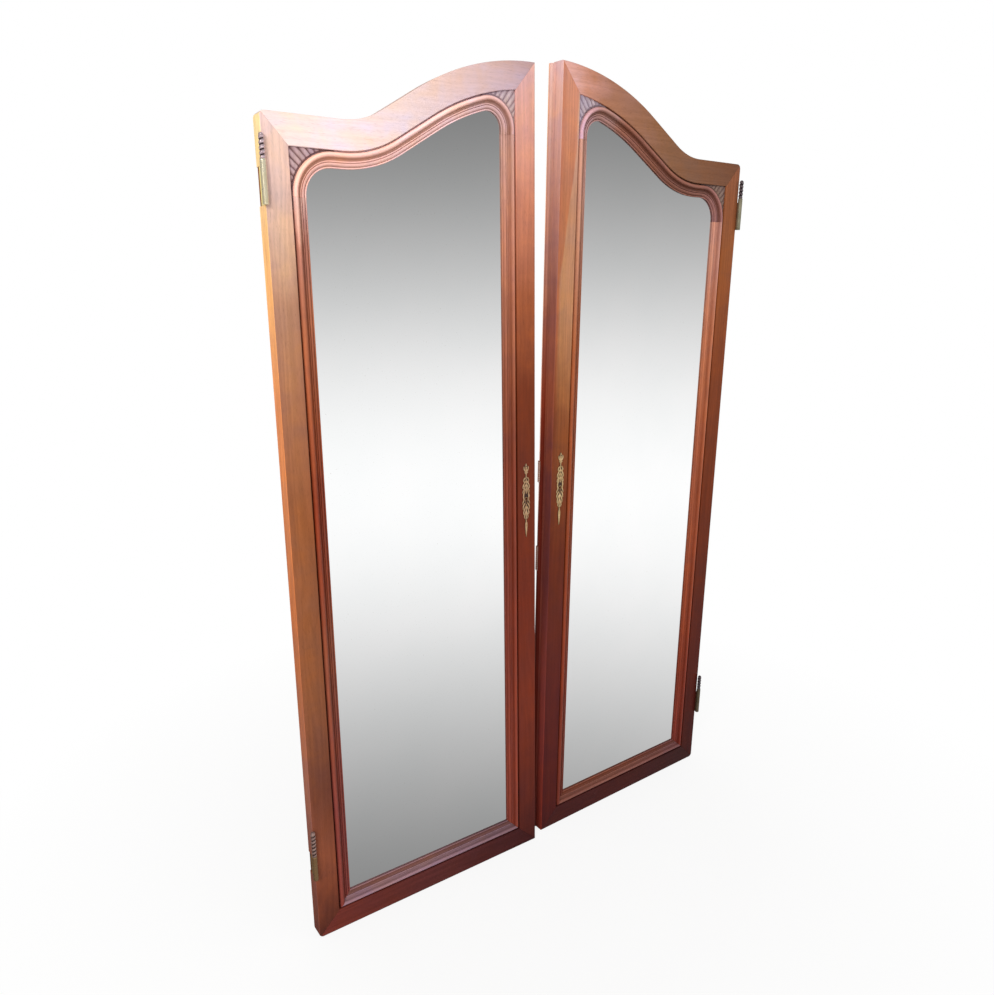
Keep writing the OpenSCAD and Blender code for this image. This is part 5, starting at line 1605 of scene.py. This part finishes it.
# %% Sizes of the lock, in millimetres
CASE_U, CASE_W = DOOR_W - FRAME_W + 2, FRAME_W - LIP_W - LIP_GAP - 4
BOLT_RISE, BOLT_GAP = 42.0, 0.3
CASE_Z, CASE_H, CASE_T = KEYHOLE_Z - 16, BOLT_RISE + 34.0, 13.0
BOLT_H, BOLT_T, BOLT_Y, BOLT_Z = 14.0, 6.0, DOOR_T + 3, KEYHOLE_Z + BOLT_RISE
BOLT_LEN, FOREND_T = CASE_W - 3, 2.0
CASE_END = CASE_U + CASE_W

# %% Make the lock
FACE_BACK = Matrix.Rotation(-math.pi / 2, 3, "X")


def bolt_slot(u0, u1):
    """The way of the bolt, a little larger than the bolt."""
    half = BOLT_H / 2 + BOLT_GAP
    return block((u0, BOLT_Y - BOLT_GAP, BOLT_Z - half),
                 (u1, BOLT_Y + BOLT_T + BOLT_GAP, BOLT_Z + half), 0.05, 1)


case = joined(
    block((CASE_U, DOOR_T + HAIR, CASE_Z),
          (CASE_END, DOOR_T + CASE_T - 1.2, CASE_Z + CASE_H), 1.2, 3),
    block((CASE_U + 1.5, DOOR_T + CASE_T - 2.4, CASE_Z + 1.5),
          (CASE_END - 1.5, DOOR_T + CASE_T, CASE_Z + CASE_H - 1.5), 0.8, 2),
    lathe([(0, -1.0), (4.6, -1.0), (4.6, 0.3), (3.9, 0.9), (2.4, 0.9), (2.2, 0.2),
           (0, 0.2)], steps=28))
verts = [v for v in case.verts if v.co.length < 6]
bmesh.ops.rotate(case, verts=verts, matrix=FACE_BACK)
shifted(case, (KEYHOLE_U, DOOR_T + CASE_T - 1.0, KEYHOLE_Z), verts)
piece("lock_case", cut(case, bolt_slot(CASE_U + 2, CASE_END + 3)), "left", [iron])
forend = block((CASE_END + HAIR, DOOR_T + HAIR, CASE_Z), (CASE_END + FOREND_T,
               DOOR_T + CASE_T, CASE_Z + CASE_H), 0.5)
piece("lock_forend", cut(forend, bolt_slot(CASE_END - 2, CASE_END + 5)), "left", [iron])
bolt_end = CASE_END + FOREND_T
bolt = block((bolt_end - BOLT_LEN, BOLT_Y, BOLT_Z - BOLT_H / 2),
             (bolt_end, BOLT_Y + BOLT_T, BOLT_Z + BOLT_H / 2), 0.7, 3)
piece("lock_bolt", bolt, "left", [steel])
spots = [(CASE_U + u, DOOR_T + CASE_T, CASE_Z + z) for u in (5, CASE_W - 5)
         for z in (5, CASE_H - 5)]
piece("lock_screws", heads(spots, [(0, 1, 0)] * 4, screw_head, pin_steel, seed=9), "left",
      [pin_steel])
print("Lock:", made_pieces[-4:])

# %% [markdown]
# ## Fittings on the right door
# The right door has two flat bolts that slide in guides, up and down, and two keeps
# wrapped round its lip. The keeps' front edges are beaded, and that beading is what
# shows in the gap between the doors.

# %% Sizes of the fittings, in millimetres
FLUSH_U, FLUSH_W, FLUSH_T, FLUSH_LEN = DOOR_W - FRAME_W / 2, 12.0, 5.0, 210.0
GUIDE_W, GUIDE_T, GUIDE_INSET, STRAP_W, STRAP_T = 30.0, 2.0, 8.0, 14.0, 2.0
STRAP_IN, KNOB_R, RUN_GAP = GUIDE_INSET + 4, 4.5, 0.3
THROW, KNOB_ROOM, BOLT_END_IN = 18.0, 16.5, 6.0
GUIDE_H = 2 * (STRAP_IN + STRAP_W + THROW + KNOB_ROOM) + 2 * KNOB_R
GUIDE_TOP = top_z(DOOR_W - FRAME_W, 0) - 60 - GUIDE_H
GUIDE_BOTTOM = 60.0
KEEP_W, KEEP_T, KEEP_WRAP, BEAD_PITCH = 20.0, 1.5, 6.0, 5
KEEPS = {"upper_keep": (KEYHOLE_Z + 32, 52.0), "lower_keep": (KEYHOLE_Z - 190, 62.0)}


# %% Make the bolts, guides and keeps
def guide(z):
    """A plate with two bridges that the bolt slides under."""
    y = DOOR_T + GUIDE_T
    parts = [block((FLUSH_U - GUIDE_W / 2, DOOR_T + HAIR, z),
                   (FLUSH_U + GUIDE_W / 2, y, z + GUIDE_H), 0.5)]
    half = FLUSH_W / 2 + RUN_GAP
    for s in (STRAP_IN, GUIDE_H - STRAP_IN - STRAP_W):
        over_bolt = y + FLUSH_T + RUN_GAP
        parts.append(block((FLUSH_U - half - STRAP_T, over_bolt, z + s),
                           (FLUSH_U + half + STRAP_T, over_bolt + STRAP_T,
                            z + s + STRAP_W), 0.6))
        for lo, hi in ((-half - STRAP_T, -half), (half, half + STRAP_T)):
            parts.append(block((FLUSH_U + lo, y - 0.5, z + s),
                               (FLUSH_U + hi, over_bolt + 1.0, z + s + STRAP_W), 0.4))
    return joined(*parts)


def flat_bolt(z, knob_z):
    bar = block((FLUSH_U - FLUSH_W / 2, DOOR_T + GUIDE_T + 0.1, z),
                (FLUSH_U + FLUSH_W / 2, DOOR_T + GUIDE_T + FLUSH_T + 0.1, z + FLUSH_LEN),
                0.7, 3)
    knob = lathe([(0, 0), (2.6, 0), (2.4, 3.2), (3.0, 4.6), (4.3, 6.4), (4.5, 8.2),
                  (4.1, 9.8), (2.6, 10.8), (0, 11.0)], steps=28)
    bmesh.ops.rotate(knob, verts=knob.verts[:], matrix=FACE_BACK)
    return joined(bar, shifted(knob, (FLUSH_U, DOOR_T + GUIDE_T + FLUSH_T - 0.4, knob_z)))


def keep(z, height):
    """A strap round the lip, with a beaded front edge."""
    edge_u = DOOR_W + LIP_W
    strap = block((edge_u - KEEP_W, DOOR_T + HAIR, z),
                  (edge_u + KEEP_T, DOOR_T + KEEP_T, z + height), 0.4)
    wrap = block((edge_u + HAIR, DOOR_T - KEEP_WRAP, z),
                 (edge_u + KEEP_T, DOOR_T + 1.0, z + height), 0.4)
    count = int(height // BEAD_PITCH)
    spots = [(edge_u + KEEP_T, y, z + BEAD_PITCH * (i + 0.5))
             for y in (DOOR_T - KEEP_WRAP + 0.8, DOOR_T - 2.2) for i in range(count)]
    beads = heads(spots, [(1, 0, 0)] * len(spots), bead_pattern, keep_brass, 1.35)
    whole = joined(strap, wrap, beads)
    return sides_marked(whole, lambda c, n: c.x > edge_u + KEEP_T + 0.02)


piece("top_bolt_guide", guide(GUIDE_TOP), "right", [iron])
piece("bottom_bolt_guide", guide(GUIDE_BOTTOM), "right", [iron])
top_bolt_z = top_z(FLUSH_U - FLUSH_W, 0) - BOLT_END_IN - FLUSH_LEN
piece("top_bolt", flat_bolt(top_bolt_z, GUIDE_TOP + GUIDE_H / 2), "right", [steel])
piece("bottom_bolt", flat_bolt(BOLT_END_IN, GUIDE_BOTTOM + GUIDE_H / 2), "right",
      [steel])
for name, (z, height) in KEEPS.items():
    piece(name, keep(z, height), "right", [keep_bronze, keep_brass])
spots = [(FLUSH_U + s * (GUIDE_W / 2 - 4), DOOR_T + GUIDE_T,
          z + GUIDE_INSET / 2 + t * (GUIDE_H - GUIDE_INSET))
         for z in (GUIDE_TOP, GUIDE_BOTTOM) for s in (-1, 1) for t in (0, 1)]
spots += [(DOOR_W - 2, DOOR_T + KEEP_T, z + height * t)
          for z, height in KEEPS.values() for t in (0.2, 0.8)]
piece("fitting_screws", heads(spots, [(0, 1, 0)] * len(spots), screw_head, pin_steel,
                              seed=12), "right", [pin_steel])
for held in (screw_head, pin_head, bead_pattern):
    bpy.data.objects.remove(held)
print("Fittings:", made_pieces[-7:])

# %% [markdown]
# ## Floor, light and camera
# The photograph is cut out on white, so the floor is pale and fades to white away from
# the doors. The doors' own shadow stays on it. Shiny surfaces see a soft studio that is
# brightest a little below eye level, which gives the mirrors their grey, white, grey.


# %% The floor
FLOOR_HALF, FLOOR_MIDDLE = 6.0, 0.6


def floor_finish():
    material = bpy.data.materials.new("pale_floor")
    tree = cleared(material)
    rays = add(tree, "ShaderNodeLightPath").outputs
    place = wire(tree, "ShaderNodeTexCoord", out="Object")
    away = vector("DISTANCE", place, (FLOOR_MIDDLE, 0.0, FLOOR), out="Value")
    matt = wire(tree, "ShaderNodeBsdfDiffuse", {"Color": ramp(noise(place, 3.0), [
        (0.0, (0.80, 0.80, 0.80)), (1.0, (0.84, 0.84, 0.84))])})
    white = wire(tree, "ShaderNodeEmission", {"Color": (1, 1, 1, 1), "Strength": 1.0})
    seen = remap(away, 0.5, 1.5, 0.86, 1.0) * calc(
        "MAXIMUM", Wire(tree, rays["Is Camera Ray"]), rays["Is Transmission Ray"])
    whitened = wire(tree, "ShaderNodeMixShader", {0: seen, 1: matt, 2: white})
    clear = wire(tree, "ShaderNodeBsdfTransparent")
    shown = wire(tree, "ShaderNodeMixShader", {0: rays["Is Glossy Ray"], 1: whitened,
                                               2: clear})
    add(tree, "ShaderNodeOutputMaterial", {"Surface": shown})
    return material


floor_mesh = bpy.data.meshes.new("floor")
floor_mesh.from_pydata([(FLOOR_MIDDLE + a * FLOOR_HALF, b * FLOOR_HALF, FLOOR - 0.0002)
                        for a, b in ((-1, -1), (1, -1), (1, 1), (-1, 1))],
                       [], [(0, 1, 2, 3)])
floor_mesh.materials.append(floor_finish())
placed("floor", floor_mesh)

# %% The studio that lights the doors and shows in the mirrors
world = scene.world = bpy.data.worlds.new("studio")
wt = cleared(world)
rays = add(wt, "ShaderNodeLightPath").outputs
direction = wire(wt, "ShaderNodeTexCoord", out="Generated")
# The backdrop is one broad glow, and it hangs a little lower on the left
tilt = remap(calc("ARCTAN2", direction[1], direction[0]), -0.94, -0.82, -0.03, 0.03)
GLOW_AT, GLOW_WIDE, DUSK = -0.224, 0.325, 0.15
off = calc("DIVIDE", direction[2] + tilt - GLOW_AT, GLOW_WIDE)
glow = calc("EXPONENT", off * off * -1.0)
glow = calc("SQRT", calc("MULTIPLY_ADD", glow, glow, DUSK ** 2))
front = vector("DOT_PRODUCT", direction, (0.3, -0.95, 0.0), out="Value")
front = remap(front, -0.3, 0.45, 0.3, 1.0) * glow


def sky(colour, strength):
    return wire(wt, "ShaderNodeBackground", {"Color": colour, "Strength": strength})


WHITE = (1, 1, 1, 1)
shiny = calc("MAXIMUM", Wire(wt, rays["Is Glossy Ray"]), rays["Is Transmission Ray"])
lit = wire(wt, "ShaderNodeMixShader", {
    0: shiny, 1: sky((1.0, 0.99, 0.975, 1), 0.62), 2: sky(WHITE, front)})
shown = wire(wt, "ShaderNodeMixShader", {
    0: rays["Is Camera Ray"], 1: lit, 2: sky(WHITE, 1.0)})
add(wt, "ShaderNodeOutputWorld", {"Surface": shown})


def lamp(name, spot, aim_at, size, watts, colour, shines=False):
    light = bpy.data.lights.new(name, "AREA")
    light.size, light.energy, light.color = size, watts, colour
    holder = placed(name, light)
    holder.location = spot
    way = Vector(aim_at) - Vector(spot)
    holder.rotation_euler = way.to_track_quat("-Z", "Y").to_euler()
    holder.visible_glossy = shines


lamp("key", (-2.4, -2.5, 2.7), (0.5, 0.0, 0.8), 1.6, 80.0, (1.0, 0.97, 0.93))
lamp("spark", (-2.2, -1.9, 2.6), (0.5, 0.0, 0.9), 0.45, 14.0, (1.0, 0.98, 0.96), True)
lamp("fill", (2.6, -2.4, 2.0), (0.7, 0.0, 0.7), 2.4, 22.0, (0.95, 0.97, 1.0))
print("Studio lit")

# %% The camera, from the fitted vanishing lines of the photograph
FRAME_PX, FOCAL_PX = 994, 813.5067
EYE = (-0.5243, -1.43865, 1.27995)
LOOKS, TO_RIGHT = (0.5466, 0.7935, -0.2676), (0.8251, -0.5649, 0.0104)
view_camera = bpy.data.cameras.new("photograph")
view_camera.sensor_width, view_camera.sensor_fit = 36.0, "HORIZONTAL"
view_camera.lens = FOCAL_PX / FRAME_PX * view_camera.sensor_width
view_camera.clip_start = 0.05
camera = placed("photograph", view_camera)
forward, rightward = Vector(LOOKS).normalized(), Vector(TO_RIGHT)
rightward = (rightward - forward * rightward.dot(forward)).normalized()
turn_to = Matrix((rightward, rightward.cross(forward), -forward)).transposed()
camera.matrix_world = Matrix.Translation(EYE) @ turn_to.to_4x4()
scene.camera = camera
scene.view_settings.view_transform = "Standard"
print("Camera looks along", [round(v, 3) for v in forward])

# %% Sizes, and the end
bpy.context.view_layer.update()
print(len(made_pieces), "pieces,", sum(n for _, n in made_pieces), "faces")
